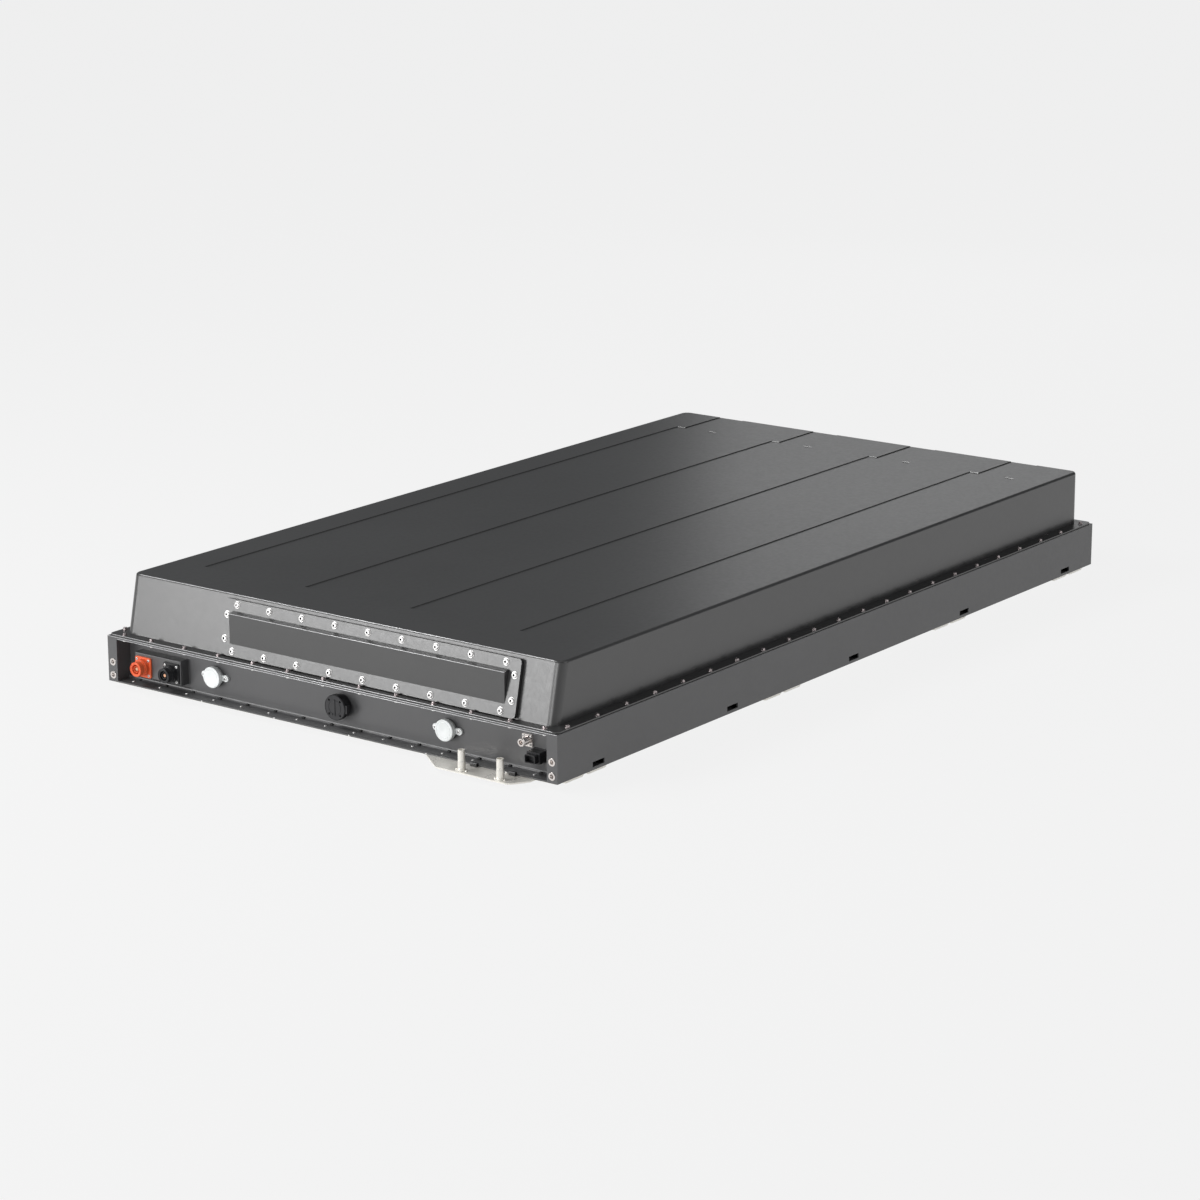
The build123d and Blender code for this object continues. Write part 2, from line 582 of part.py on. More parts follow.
# ---------------------------------------------------------------- vents
vent_ears = [(x + side * vent_ear_out, frame_z + vent_z) for x in vent_xs for side in (-1, 1)]
with BuildPart() as vent_bodies:
    with BuildSketch(face_plane(web_d)):
        with Locations(*[(x, frame_z + vent_z) for x in vent_xs]):
            Circle(vent_foot_r)
            Rectangle(2 * vent_ear_out, vent_bridge_h)
        with Locations(*vent_ears):
            Circle(vent_ear_r)
    extrude(amount=vent_foot_t)
    with BuildSketch(face_plane(web_d)):
        with Locations(*[(x, frame_z + vent_z) for x in vent_xs]):
            Circle(vent_tail_r)
    extrude(amount=-vent_tail_l)
finish(vent_bodies, "vent_bodies")

with BuildPart() as vent_caps:
    with BuildSketch(face_plane(web_d - vent_foot_t)):
        with Locations(*[(x, frame_z + vent_z) for x in vent_xs]):
            Circle(vent_cap_r)
    extrude(amount=vent_cap_l)
    rims = vent_caps.faces().sort_by(Axis.Y)[:2].edges()
    chamfer(rims, length=vent_cap_chamfer)
finish(vent_caps, "vent_caps")

with BuildPart() as vent_screws:
    with BuildSketch(face_plane(web_d - vent_foot_t)):
        with Locations(*vent_ears):
            RegularPolygon(vent_screw_r, 8)
    extrude(amount=vent_screw_h)
finish(vent_screws, "vent_screws")

# ---------------------------------------------------------------- relief valve
relief_face_d = web_d - relief_body_l - relief_cap_l
with BuildPart() as relief_valve_body:
    with BuildSketch(face_plane(web_d, relief_x, frame_z + relief_z)):
        Circle(relief_body_r)
    extrude(amount=relief_body_l)
    with BuildSketch(face_plane(web_d, relief_x, frame_z + relief_z)):
        Circle(relief_tail_r)
    extrude(amount=-relief_tail_l)
finish(relief_valve_body, "relief_valve_body")

with BuildPart() as relief_valve_cap:
    with BuildSketch(face_plane(web_d - relief_body_l, relief_x, frame_z + relief_z)):
        Circle(relief_cap_r)
    extrude(amount=relief_cap_l)
    chamfer(relief_valve_cap.faces().sort_by(Axis.Y)[0].edges(), length=relief_chamfer)
    with BuildSketch(face_plane(relief_face_d, relief_x, frame_z + relief_z)):
        with PolarLocations(relief_hole_ring_r, 4, start_angle=45):
            Circle(relief_hole_r)
    extrude(amount=-relief_hole_depth, mode=Mode.SUBTRACT)
    with BuildSketch(face_plane(relief_face_d, relief_x, frame_z + relief_z)):
        Rectangle(relief_rib[0], relief_rib[1])
    extrude(amount=relief_rib[2])
    with Locations((relief_x + relief_cap_r, y_at(web_d - relief_body_l - relief_tab_d), frame_z + relief_z)):
        Box(*relief_tab)
finish(relief_valve_cap, "relief_valve_cap")

# ---------------------------------------------------------------- signal sockets
with BuildPart() as signal_socket:
    with BuildSketch(face_plane(web_d, signal_x, frame_z + signal_z)):
        RectangleRounded(signal_flange, signal_flange, signal_corner)
    extrude(amount=signal_flange_t)
    with BuildSketch(face_plane(web_d - signal_flange_t, signal_x, frame_z + signal_z)):
        Circle(signal_barrel_r)
    extrude(amount=signal_barrel_l)
    with BuildSketch(face_plane(web_d, signal_x, frame_z + signal_z)):
        Circle(signal_tail_r)
    extrude(amount=-signal_tail_l)
    with BuildSketch(face_plane(web_d - signal_flange_t - signal_barrel_l, signal_x, frame_z + signal_z)):
        Circle(signal_bore_r)
    extrude(amount=-signal_barrel_l / 2, mode=Mode.SUBTRACT)
finish(signal_socket, "signal_socket")

with BuildPart() as signal_screws:
    with BuildSketch(face_plane(web_d - signal_flange_t, signal_x, frame_z + signal_z)):
        span = signal_flange - 2 * signal_screw_inset
        with GridLocations(span, span, 2, 2):
            RegularPolygon(signal_screw_r, 8)
    extrude(amount=signal_screw_h)
finish(signal_screws, "signal_screws")

with BuildPart() as lv_socket:
    with BuildSketch(face_plane(web_d, lv_x, frame_z + lv_z)):
        RectangleRounded(lv_foot[0], lv_foot[1], lv_corner)
    extrude(amount=lv_foot[2])
    lv_body_d = web_d - lv_foot[2]
    with BuildSketch(face_plane(lv_body_d, lv_x, frame_z + lv_z)):
        RectangleRounded(lv_body[0], lv_body[1], lv_corner)
    extrude(amount=lv_body[2])
    with BuildSketch(face_plane(lv_body_d - lv_body[2], lv_x, frame_z + lv_z)):
        RectangleRounded(lv_nose[0], lv_nose[1], lv_corner)
    extrude(amount=lv_nose[2])
    with BuildSketch(face_plane(lv_body_d - lv_body[2] - lv_nose[2], lv_x, frame_z + lv_z)):
        Rectangle(lv_nose[0] - 2 * lv_wall, lv_nose[1] - 2 * lv_wall)
    extrude(amount=-lv_nose[2], mode=Mode.SUBTRACT)
    with BuildSketch(face_plane(web_d, lv_x, frame_z + lv_z)):
        Rectangle(lv_tail[0], lv_tail[1])
    extrude(amount=-lv_tail[2])
finish(lv_socket, "lv_socket")

# ---------------------------------------------------------------- cell stacks
column_xs = [(i - (stack_columns - 1) / 2) * stack_pitch_x for i in range(stack_columns)]
stacks = [(x, d) for d in stack_front_ds for x in column_xs]


def cell_mid_d(stack_d, index):
    """Middle of a cell along the stack."""
    return stack_d + end_plate_t + cell_pitch_y * (index + 0.5)


with BuildPart() as thermal_pads:
    for x, d in stacks:
        box_between(x - cell_x / 2, x + cell_x / 2, d, d + stack_l, frame_z, cell_z)
finish(thermal_pads, "thermal_pads")

with BuildPart() as cells:
    with BuildSketch(Plane.XY.offset(cell_z)):
        with Locations(*[(x, y_at(cell_mid_d(d, i))) for x, d in stacks for i in range(stack_cells)]):
            Rectangle(cell_x, cell_y)
    extrude(amount=cell_h)
finish(cells, "cells")

with BuildPart() as end_plates:
    for x, d in stacks:
        for start in (d, d + stack_l - end_plate_t):
            box_between(x - cell_x / 2, x + cell_x / 2, start, start + end_plate_t, cell_z, cell_z + end_plate_h)
finish(end_plates, "end_plates")

with BuildPart() as stack_straps:
    for x, d in stacks:
        for side in (-1, 1):
            inner = x + side * (cell_x / 2 + strap_t / 2)
            box_between(inner - strap_t / 2, inner + strap_t / 2, d, d + stack_l,
                        cell_z + strap_low, cell_z + strap_low + strap_w)
finish(stack_straps, "stack_straps")

busbar_places = []
for x, d in stacks:
    for i in range(stack_cells - 1):
        side = 1 if i % 2 else -1
        busbar_places.append((x + side * (cell_x / 2 - busbar_inset), y_at(cell_mid_d(d, i) + cell_pitch_y / 2)))
with BuildPart() as busbars:
    with BuildSketch(Plane.XY.offset(cell_top)):
        with Locations(*busbar_places):
            Rectangle(busbar_w, cell_pitch_y - busbar_gap)
    extrude(amount=busbar_t)
finish(busbars, "busbars")

with BuildPart() as monitor_boards:
    for x, d in stacks:
        middle_d = d + stack_l / 2
        box_between(x - board_size[0] / 2, x + board_size[0] / 2, middle_d - board_size[1] / 2,
                    middle_d + board_size[1] / 2, cell_top, cell_top + board_size[2])
finish(monitor_boards, "monitor_boards")

# ---------------------------------------------------------------- electrical compartment
tray_top = frame_z + tray_t
with BuildPart() as hv_tray:
    box_between(tray_left, tray_right, tray_front_d, tray_rear_d, frame_z, tray_top)
finish(hv_tray, "hv_tray")

lead_z = frame_z + hv_z
with BuildPart() as contactors:
    for x in hv_xs:
        box_between(x - contactor_size[0] / 2, x + contactor_size[0] / 2, contactor_front_d,
                    contactor_front_d + contactor_size[1], tray_top, tray_top + contactor_size[2])
    chamfer(contactors.edges().filter_by(Axis.Z), length=contactor_chamfer)
finish(contactors, "contactors")

with BuildPart() as hv_leads:
    for x in hv_xs:
        box_between(x - lead_w / 2, x + lead_w / 2, hv_tail_back_d, contactor_front_d,
                    lead_z - lead_t / 2, lead_z + lead_t / 2)
finish(hv_leads, "hv_leads")

fuse_front_d = contactor_front_d
with BuildPart() as main_fuse:
    with BuildSketch(face_plane(fuse_front_d + fuse_l, fuse_x, tray_top + fuse_r + fuse_clear)):
        Circle(fuse_r)
    extrude(amount=fuse_l)
    for start in (fuse_front_d, fuse_front_d + fuse_l - fuse_foot_l):
        box_between(fuse_x - fuse_foot_w / 2, fuse_x + fuse_foot_w / 2, start, start + fuse_foot_l,
                    tray_top, tray_top + fuse_r)
finish(main_fuse, "main_fuse")

with BuildPart() as current_sensor:
    box_between(sensor_x - sensor_size[0] / 2, sensor_x + sensor_size[0] / 2, contactor_front_d,
                contactor_front_d + sensor_size[1], tray_top, tray_top + sensor_size[2])
    with BuildSketch(face_plane(contactor_front_d, sensor_x, tray_top + sensor_size[2] / 2)):
        Rectangle(*sensor_window)
    extrude(amount=-sensor_size[1], mode=Mode.SUBTRACT)
finish(current_sensor, "current_sensor")

with BuildPart() as bms_unit:
    box_between(bms_x - bms_size[0] / 2, bms_x + bms_size[0] / 2, bms_front_d,
                bms_front_d + bms_size[1], tray_top, tray_top + bms_size[2])
    chamfer(bms_unit.faces().sort_by(Axis.Z)[-1].edges(), length=bms_chamfer)
finish(bms_unit, "bms_unit")

with BuildPart() as signal_leads:
    with BuildSketch(face_plane(web_d + lv_tail[2], lv_x, frame_z + lv_z)):
        Circle(signal_lead_r)
    extrude(amount=-(bms_front_d - web_d - lv_tail[2]))
finish(signal_leads, "signal_leads")

contactor_back_d = contactor_front_d + contactor_size[1]
with BuildPart() as pack_links:
    for x in hv_xs:
        with BuildSketch(Plane(origin=(x - lead_w / 2, 0, 0), x_dir=(0, 1, 0), z_dir=(1, 0, 0))):
            with BuildLine():
                Polyline((y_at(contactor_back_d), lead_z - lead_t / 2), (y_at(link_rise_d), lead_z - lead_t / 2),
                         (y_at(link_rise_d), cell_top),
                         (y_at(cell_mid_d(stack_front_ds[0], 0)), cell_top),
                         (y_at(cell_mid_d(stack_front_ds[0], 0)), cell_top + lead_t),
                         (y_at(link_rise_d - lead_t), cell_top + lead_t),
                         (y_at(link_rise_d - lead_t), lead_z + lead_t / 2),
                         (y_at(contactor_back_d), lead_z + lead_t / 2), close=True)
            make_face()
        extrude(amount=lead_w)
finish(pack_links, "pack_links")
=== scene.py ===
"""Looks of the traction battery pack: finishes, small hardware, studio light and camera.

The scene is in metres, and parts' sizes are written in millimetres and multiplied by MM. X runs across the
pack, Y from its connector end to its rear, Z up.
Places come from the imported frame: each small part sits where its plain solid sits.
"""
import logging
import math
from dataclasses import dataclass
from enum import Enum
from typing import Iterable, Sequence

import bmesh
import bpy
from mathutils import Matrix, Vector


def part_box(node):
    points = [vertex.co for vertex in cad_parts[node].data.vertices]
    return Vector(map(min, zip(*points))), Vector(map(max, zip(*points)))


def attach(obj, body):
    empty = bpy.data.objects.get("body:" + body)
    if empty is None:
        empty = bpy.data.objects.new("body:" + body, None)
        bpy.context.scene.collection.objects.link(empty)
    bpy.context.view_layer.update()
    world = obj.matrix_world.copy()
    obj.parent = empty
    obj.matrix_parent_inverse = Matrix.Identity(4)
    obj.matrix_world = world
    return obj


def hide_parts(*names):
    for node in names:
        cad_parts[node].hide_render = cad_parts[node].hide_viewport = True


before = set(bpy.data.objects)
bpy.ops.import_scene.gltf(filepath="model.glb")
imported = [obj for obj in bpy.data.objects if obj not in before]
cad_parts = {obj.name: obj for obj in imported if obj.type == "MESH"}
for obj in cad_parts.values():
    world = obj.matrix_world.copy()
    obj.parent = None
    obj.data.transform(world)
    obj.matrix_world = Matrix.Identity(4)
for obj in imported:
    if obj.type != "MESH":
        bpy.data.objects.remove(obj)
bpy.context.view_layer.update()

MM = 0.001
LOG = logging.getLogger("battery_pack")

FRAME_TOP = 119.0     # height of the frame's top
FLANGE_TOP = 123.0    # height of the cover's flange
FRONT_LEAN = 28.5     # how far the top of the sloping front stands back
COVER_RISE = 131.0    # height of the cover above its flange


class Drive(Enum):
    """Shape of the recess in a screw's head, as the number of lobes it is drawn with."""

    LOBED = 6
    HEX = 3
    NONE = 0


class Facing(Enum):
    """Direction that a small part's head points to."""

    UP = (0.0, 0.0, 1.0)
    DOWN = (0.0, 0.0, -1.0)
    FRONT = (0.0, -1.0, 0.0)

    def vector(self) -> Vector:
        """Return the direction as a vector."""
        return Vector(self.value)


@dataclass(frozen=True)
class Ring:
    """One ring of a round part: its radius and height in millimetres, and its lobes.

    Attributes:
        radius: Radius of the ring.
        height: Height above the part's seat.
        lobes: Number of lobes round the ring, or 0 for a plain circle.
        depth: Share of the radius that the valleys between lobes lose.
    """

    radius: float
    height: float
    lobes: int = 0
    depth: float = 0.0

    def at(self, angle: float) -> Vector:
        """Return the ring's point at an angle, in metres.

        Args:
            angle: Angle round the ring, in radians.

        Returns:
            The point.
        """
        radius = self.radius * MM
        if self.lobes:
            radius *= 1.0 - self.depth * (0.5 - 0.5 * math.cos(self.lobes * angle))
        return Vector((radius * math.cos(angle), radius * math.sin(angle), self.height * MM))


def offset_rings(radius: float, shape: Sequence[tuple[float, float]]) -> list[Ring]:
    """Return rings from pairs of an offset from a radius and a height."""
    return [Ring(radius + out, height) for out, height in shape]


def share_rings(radius: float, height: float, shape: Sequence[tuple[float, float]], lobes: int = 0,
                depth: float = 0.0) -> list[Ring]:
    """Return rings from pairs of a share of a radius and a share of a height."""
    return [Ring(radius * out, height * up, lobes, depth) for out, up in shape]


# ---------------------------------------------------------------- finishes
CLOUD_RANGE, CLOUD_DETAIL, CLOUD_ROUGHNESS = (0.35, 0.7), 5.0, 0.55     # colour drift
SMEAR_RANGE, SMEAR_DETAIL, SMEAR_SHARE = (0.3, 0.7), 4.0, 0.12          # gloss drift, as a share of the grain
PEEL_DETAIL = 2.0                                                       # fine relief
MIX_FACTOR, MIX_FIRST, MIX_SECOND, MIX_RESULT = 0, 6, 7, 2              # sockets of a colour mix


class Graph:
    """Small helper that adds and links shader nodes."""

    def __init__(self, tree: bpy.types.NodeTree) -> None:
        """Keep the node tree and empty it."""
        self.tree = tree
        tree.nodes.clear()

    def add(self, kind: str, **settings: object) -> bpy.types.Node:
        """Add a node.

        Args:
            kind: The node's type name.
            settings: Attributes of the node, or values of its inputs by name.

        Returns:
            The new node.
        """
        node = self.tree.nodes.new(kind)
        for key, value in settings.items():
            name = key.replace("_", " ").title()
            if name in node.inputs:
                node.inputs[name].default_value = value
            else:
                setattr(node, key, value)
        return node

    def join(self, source: bpy.types.NodeSocket, target: bpy.types.NodeSocket) -> None:
        """Link two sockets."""
        self.tree.links.new(source, target)

    def span(self, value: bpy.types.NodeSocket, source: tuple[float, float],
             target: tuple[float, float] = (0.0, 1.0)) -> bpy.types.NodeSocket:
        """Spread one range of a value over another.

        Args:
            value: Socket of the value.
            source: Lowest and highest value taken in.
            target: What those two become.

        Returns:
            The socket of the result.
        """
        node = self.add("ShaderNodeMapRange", from_min=source[0], from_max=source[1],
                        to_min=target[0], to_max=target[1])
        self.join(value, node.inputs["Value"])
        return node.outputs["Result"]


@dataclass(frozen=True)
class Finish:
    """A surface finish with its colour drift, gloss drift and fine relief.

    Attributes:
        name: Name of the material.
        slot: The record's material slot.
        colour: Main colour, linear.
        second: Colour that the main one drifts to.
        metallic: 1 for bare metal.
        roughness: Lowest and highest roughness.
        cloud: Size of the colour drift, per metre.
        grain: Size of the fine relief, per metre.
        stretch: Stretch of the fine relief along X, Y and Z.
        relief: Strength of the fine relief.
        relief_mm: Height of the fine relief.
        coat: Strength of a clear coat.
        specular: Specular level.
    """

    name: str
    slot: str
    colour: tuple[float, float, float]
    second: tuple[float, float, float]
    metallic: float = 0.0
    roughness: tuple[float, float] = (0.35, 0.5)
    cloud: float = 6.0
    grain: float = 900.0
    stretch: tuple[float, float, float] = (1.0, 1.0, 1.0)
    relief: float = 0.15
    relief_mm: float = 0.1
    coat: float = 0.0
    specular: float = 0.5

    def material(self) -> bpy.types.Material:
        """Return the material, made once.

        Returns:
            The material.
        """
        made = bpy.data.materials.get(self.name)
        if made is not None:
            return made
        made = bpy.data.materials.new(self.name)
        made.use_nodes = True
        graph = Graph(made.node_tree)
        output = graph.add("ShaderNodeOutputMaterial")
        shader = graph.add("ShaderNodeBsdfPrincipled", metallic=self.metallic)
        shader.inputs["Coat Weight"].default_value = self.coat
        shader.inputs["Specular IOR Level"].default_value = self.specular
        place = graph.add("ShaderNodeTexCoord").outputs["Object"]
        graph.join(self._colour(graph, place), shader.inputs["Base Color"])
        graph.join(self._gloss(graph, place), shader.inputs["Roughness"])
        graph.join(self._relief(graph, place), shader.inputs["Normal"])
        graph.join(shader.outputs["BSDF"], output.inputs["Surface"])
        made.diffuse_color = (*self.colour, 1.0)
        return made

    def _colour(self, graph: Graph, place: bpy.types.NodeSocket) -> bpy.types.NodeSocket:
        """Drift the colour in soft clouds.

        Args:
            graph: The material's graph.
            place: Socket of the Object coordinates.

        Returns:
            The socket of the colour.
        """
        cloud = graph.add("ShaderNodeTexNoise", scale=self.cloud, detail=CLOUD_DETAIL,
                          roughness=CLOUD_ROUGHNESS)
        graph.join(place, cloud.inputs["Vector"])
        drift = graph.add("ShaderNodeMix", data_type="RGBA")
        drift.inputs[MIX_FIRST].default_value = (*self.colour, 1.0)
        drift.inputs[MIX_SECOND].default_value = (*self.second, 1.0)
        graph.join(graph.span(cloud.outputs["Fac"], CLOUD_RANGE), drift.inputs[MIX_FACTOR])
        return drift.outputs[MIX_RESULT]

    def _grained(self, graph: Graph, place: bpy.types.NodeSocket, scale: float,
                 detail: float) -> bpy.types.NodeSocket:
        """Make noise that is stretched along the finish's grain.

        Args:
            graph: The material's graph.
            place: Socket of the Object coordinates.
            scale: Size of the noise, per metre.
            detail: Detail of the noise.

        Returns:
            The socket of the noise.
        """
        turn = graph.add("ShaderNodeMapping")
        turn.inputs["Scale"].default_value = self.stretch
        graph.join(place, turn.inputs["Vector"])
        noise = graph.add("ShaderNodeTexNoise", scale=scale, detail=detail)
        graph.join(turn.outputs["Vector"], noise.inputs["Vector"])
        return noise.outputs["Fac"]

    def _gloss(self, graph: Graph, place: bpy.types.NodeSocket) -> bpy.types.NodeSocket:
        """Return the socket of a roughness that drifts along the finish's grain."""
        smear = self._grained(graph, place, self.grain * SMEAR_SHARE, SMEAR_DETAIL)
        return graph.span(smear, SMEAR_RANGE, self.roughness)

    def _relief(self, graph: Graph, place: bpy.types.NodeSocket) -> bpy.types.NodeSocket:
        """Raise the fine relief: orange peel, rolling lines or moulded grain.

        Args:
            graph: The material's graph.
            place: Socket of the Object coordinates.

        Returns:
            The socket of the normal.
        """
        bump = graph.add("ShaderNodeBump", strength=self.relief, distance=self.relief_mm * MM)
        graph.join(self._grained(graph, place, self.grain, PEEL_DETAIL), bump.inputs["Height"])
        return bump.outputs["Normal"]


FRAME_PAINT = Finish("frame_powder_coat", "frame_paint", (0.078, 0.078, 0.08), (0.09, 0.09, 0.092),
                     roughness=(0.3, 0.38), cloud=4.0, relief=0.06, relief_mm=0.04, specular=0.8)
COVER_PAINT = Finish("cover_satin_paint", "cover_paint", (0.04, 0.04, 0.04), (0.047, 0.047, 0.047),
                     roughness=(0.29, 0.34), cloud=2.5, relief=0.05, relief_mm=0.04, specular=0.9)
# painted highlight: pale strips that stand for the glints on the rounded edges
EDGE_HIGHLIGHT_PAINT = Finish("painted_edge_highlight", "frame_paint", (0.8, 0.8, 0.81), (0.6, 0.6, 0.61), metallic=0.4,
                    roughness=(0.25, 0.4), cloud=25.0, grain=1500.0, relief=0.1, relief_mm=0.03)
NICKEL_SHEET = Finish("nickel_sheet", "plate_nickel", (0.93, 0.91, 0.86), (0.87, 0.84, 0.77), metallic=0.45,
                      roughness=(0.26, 0.38), grain=500.0, stretch=(1.0, 0.05, 1.0), relief=0.05)
MILL_ALUMINIUM = Finish("mill_aluminium", "bare_aluminium", (0.7, 0.7, 0.71), (0.62, 0.62, 0.64),
                        metallic=1.0, roughness=(0.3, 0.45), grain=800.0, stretch=(0.05, 1.0, 1.0),
                        relief=0.2)
ZINC_STEEL = Finish("zinc_plated_steel", "screw_steel", (0.84, 0.83, 0.82), (0.74, 0.73, 0.72), metallic=0.6,
                    roughness=(0.3, 0.42), cloud=60.0, grain=1500.0, relief=0.1, relief_mm=0.03)
PINK_STEEL = Finish("flange_screw_steel", "screw_steel", (0.55, 0.49, 0.49), (0.42, 0.38, 0.38), metallic=1.0,
                    roughness=(0.28, 0.42), cloud=60.0, grain=1500.0, relief=0.1, relief_mm=0.03)
PLATED_METAL = Finish("nickel_plated_socket", "plated_metal", (0.8, 0.75, 0.72), (0.68, 0.64, 0.62),
                      metallic=1.0, roughness=(0.18, 0.32), cloud=50.0, grain=1400.0, relief=0.08)
ORANGE_PLASTIC = Finish("orange_moulding", "orange_plastic", (0.86, 0.155, 0.055), (0.78, 0.12, 0.04),
                        roughness=(0.3, 0.42), cloud=30.0, grain=1600.0, relief=0.15, relief_mm=0.05)
BLACK_PLASTIC = Finish("black_moulding", "black_plastic", (0.012, 0.012, 0.014), (0.022, 0.022, 0.024),
                       roughness=(0.32, 0.48), cloud=30.0, grain=1600.0, relief=0.2, relief_mm=0.05)
WHITE_PLASTIC = Finish("white_moulding", "white_plastic", (0.93, 0.95, 0.95), (0.88, 0.91, 0.9),
                       roughness=(0.35, 0.5), cloud=30.0, grain=1500.0, relief=0.12, relief_mm=0.05)
SEAL_RUBBER = Finish("seal_rubber", "rubber_seal", (0.016, 0.016, 0.017), (0.03, 0.03, 0.031),
                     roughness=(0.6, 0.8), cloud=40.0, grain=1800.0, relief=0.4, relief_mm=0.08)
COPPER = Finish("contact_copper", "contact_brass", (0.86, 0.5, 0.32), (0.74, 0.4, 0.26), metallic=1.0,
                roughness=(0.25, 0.4), cloud=30.0, grain=900.0, stretch=(1.0, 0.1, 1.0), relief=0.1)
PAD_GREY = Finish("gap_filler", "pad_grey", (0.4, 0.42, 0.45), (0.33, 0.35, 0.38), roughness=(0.6, 0.75),
                  cloud=20.0, grain=600.0, relief=0.3)
CELL_FILM = Finish("cell_blue_film", "cell_blue", (0.05, 0.12, 0.36), (0.04, 0.09, 0.29),
                   roughness=(0.25, 0.4), cloud=14.0, grain=500.0, relief=0.2, coat=0.2)
BOARD_GREEN = Finish("board_solder_mask", "board_green", (0.02, 0.2, 0.08), (0.015, 0.15, 0.06),
                     roughness=(0.3, 0.45), cloud=60.0, grain=900.0, relief=0.2)
CERAMIC = Finish("fuse_body", "fuse_ceramic", (0.78, 0.75, 0.68), (0.7, 0.67, 0.6), roughness=(0.4, 0.55),
                 cloud=30.0, grain=1200.0, relief=0.15)
# painted shade: near-black finish that stands for the shade in screw recesses and ledge notches
PAINTED_SHADE = Finish("bore_shadow", "black_plastic", (0.01, 0.01, 0.01), (0.016, 0.016, 0.016),
                   roughness=(0.5, 0.7), cloud=40.0, grain=1500.0)

NODE_FINISHES: dict[str, Finish] = {
    "side_beam_left": FRAME_PAINT, "side_beam_right": FRAME_PAINT, "front_beam": FRAME_PAINT,
    "rear_beam": FRAME_PAINT, "hv_bracket": FRAME_PAINT, "top_cover": COVER_PAINT,
    "access_panel": COVER_PAINT, "cross_beam": MILL_ALUMINIUM, "end_plates": MILL_ALUMINIUM,
    "busbars": MILL_ALUMINIUM,
    "hv_tray": MILL_ALUMINIUM, "cold_plate": NICKEL_SHEET, "coolant_inlet": NICKEL_SHEET,
    "coolant_outlet": NICKEL_SHEET, "plate_clamps": BLACK_PLASTIC, "cover_gasket": SEAL_RUBBER,
    "panel_gasket": SEAL_RUBBER, "panel_screws": ZINC_STEEL, "cover_screws": PINK_STEEL,
    "flange_nuts": ZINC_STEEL, "ledge_screws": ZINC_STEEL, "hv_socket_orange": ORANGE_PLASTIC,
    "hv_socket_black": BLACK_PLASTIC, "hv_contacts": COPPER, "hv_socket_screws": ZINC_STEEL,
    "vent_bodies": WHITE_PLASTIC, "vent_caps": WHITE_PLASTIC, "vent_screws": ZINC_STEEL,
    "relief_valve_body": BLACK_PLASTIC, "relief_valve_cap": BLACK_PLASTIC, "signal_socket": PLATED_METAL,
    "signal_screws": ZINC_STEEL, "lv_socket": BLACK_PLASTIC, "rivet_nuts": PLATED_METAL,
    "thermal_pads": PAD_GREY, "cells": CELL_FILM, "stack_straps": ZINC_STEEL, "monitor_boards": BOARD_GREEN,
    "contactors": BLACK_PLASTIC, "hv_leads": COPPER, "main_fuse": CERAMIC, "current_sensor": BLACK_PLASTIC,
    "bms_unit": BLACK_PLASTIC, "signal_leads": SEAL_RUBBER, "pack_links": COPPER,
}


def dress_nodes() -> None:
    """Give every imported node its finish."""
    for name, finish in NODE_FINISHES.items():
        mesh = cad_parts[name].data
        mesh.materials.clear()
        mesh.materials.append(finish.material())
    LOG.info("dressed %d packed nodes", len(NODE_FINISHES))


# ---------------------------------------------------------------- mesh tools
WELD = 0.00001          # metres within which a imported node's loose corners are one
ORDER_DIGITS = 4        # decimals of a metre that put solids in order


@dataclass(frozen=True)
class Seat:
    """Box of one solid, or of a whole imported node."""

    low: Vector
    high: Vector

    @property
    def middle(self) -> Vector:
        """Middle of the box."""
        return (self.low + self.high) / 2


def seats(node: str) -> list[Seat]:
    """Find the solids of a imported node.

    Args:
        node: Name of the node.

    Returns:
        One seat for each solid, ordered by X, then Y, then Z.
    """
    mesh = bmesh.new()
    mesh.from_mesh(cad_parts[node].data)
    bmesh.ops.remove_doubles(mesh, verts=mesh.verts, dist=WELD)
    mesh.verts.ensure_lookup_table()
    seen: set[int] = set()
    found = [_seat_of(start, seen) for start in mesh.verts if start.index not in seen]
    mesh.free()
    return sorted(found, key=lambda seat: tuple(round(place, ORDER_DIGITS) for place in seat.middle))


def _seat_of(start: bmesh.types.BMVert, seen: set[int]) -> Seat:
    """Return the box of the solid that a vertex belongs to.

    Args:
        start: A vertex of the solid.
        seen: Vertices already found, which takes the solid's own.

    Returns:
        The solid's seat.
    """
    stack, group = [start], []
    seen.add(start.index)
    while stack:
        vert = stack.pop()
        group.append(vert.co.copy())
        for other in (edge.other_vert(vert) for edge in vert.link_edges):
            if other.index not in seen:
                seen.add(other.index)
                stack.append(other)
    low = Vector([min(point[axis] for point in group) for axis in range(3)])
    high = Vector([max(point[axis] for point in group) for axis in range(3)])
    return Seat(low, high)


def as_seat(corners: Sequence[Sequence[float]]) -> Seat:
    """Return the seat between two corners."""
    low, high = corners
    return Seat(Vector(low), Vector(high))


def mouth_of(box: Seat) -> Vector:
    """Return the middle of a socket's open front face."""
    return Vector((box.middle.x, box.low.y, box.middle.z))


def back_of(seat: Seat) -> Vector:
    """Return the middle of a seat's rear face."""
    return Vector((seat.middle.x, seat.high.y, seat.middle.z))


def aim(place: Vector, facing: Vector, twist: float = 0.0) -> Matrix:
    """Return the matrix that stands a part on a place, with its axis along facing."""
    turn = facing.to_track_quat("Z", "Y").to_matrix().to_4x4()
    return Matrix.Translation(place) @ turn @ Matrix.Rotation(twist, 4, "Z")


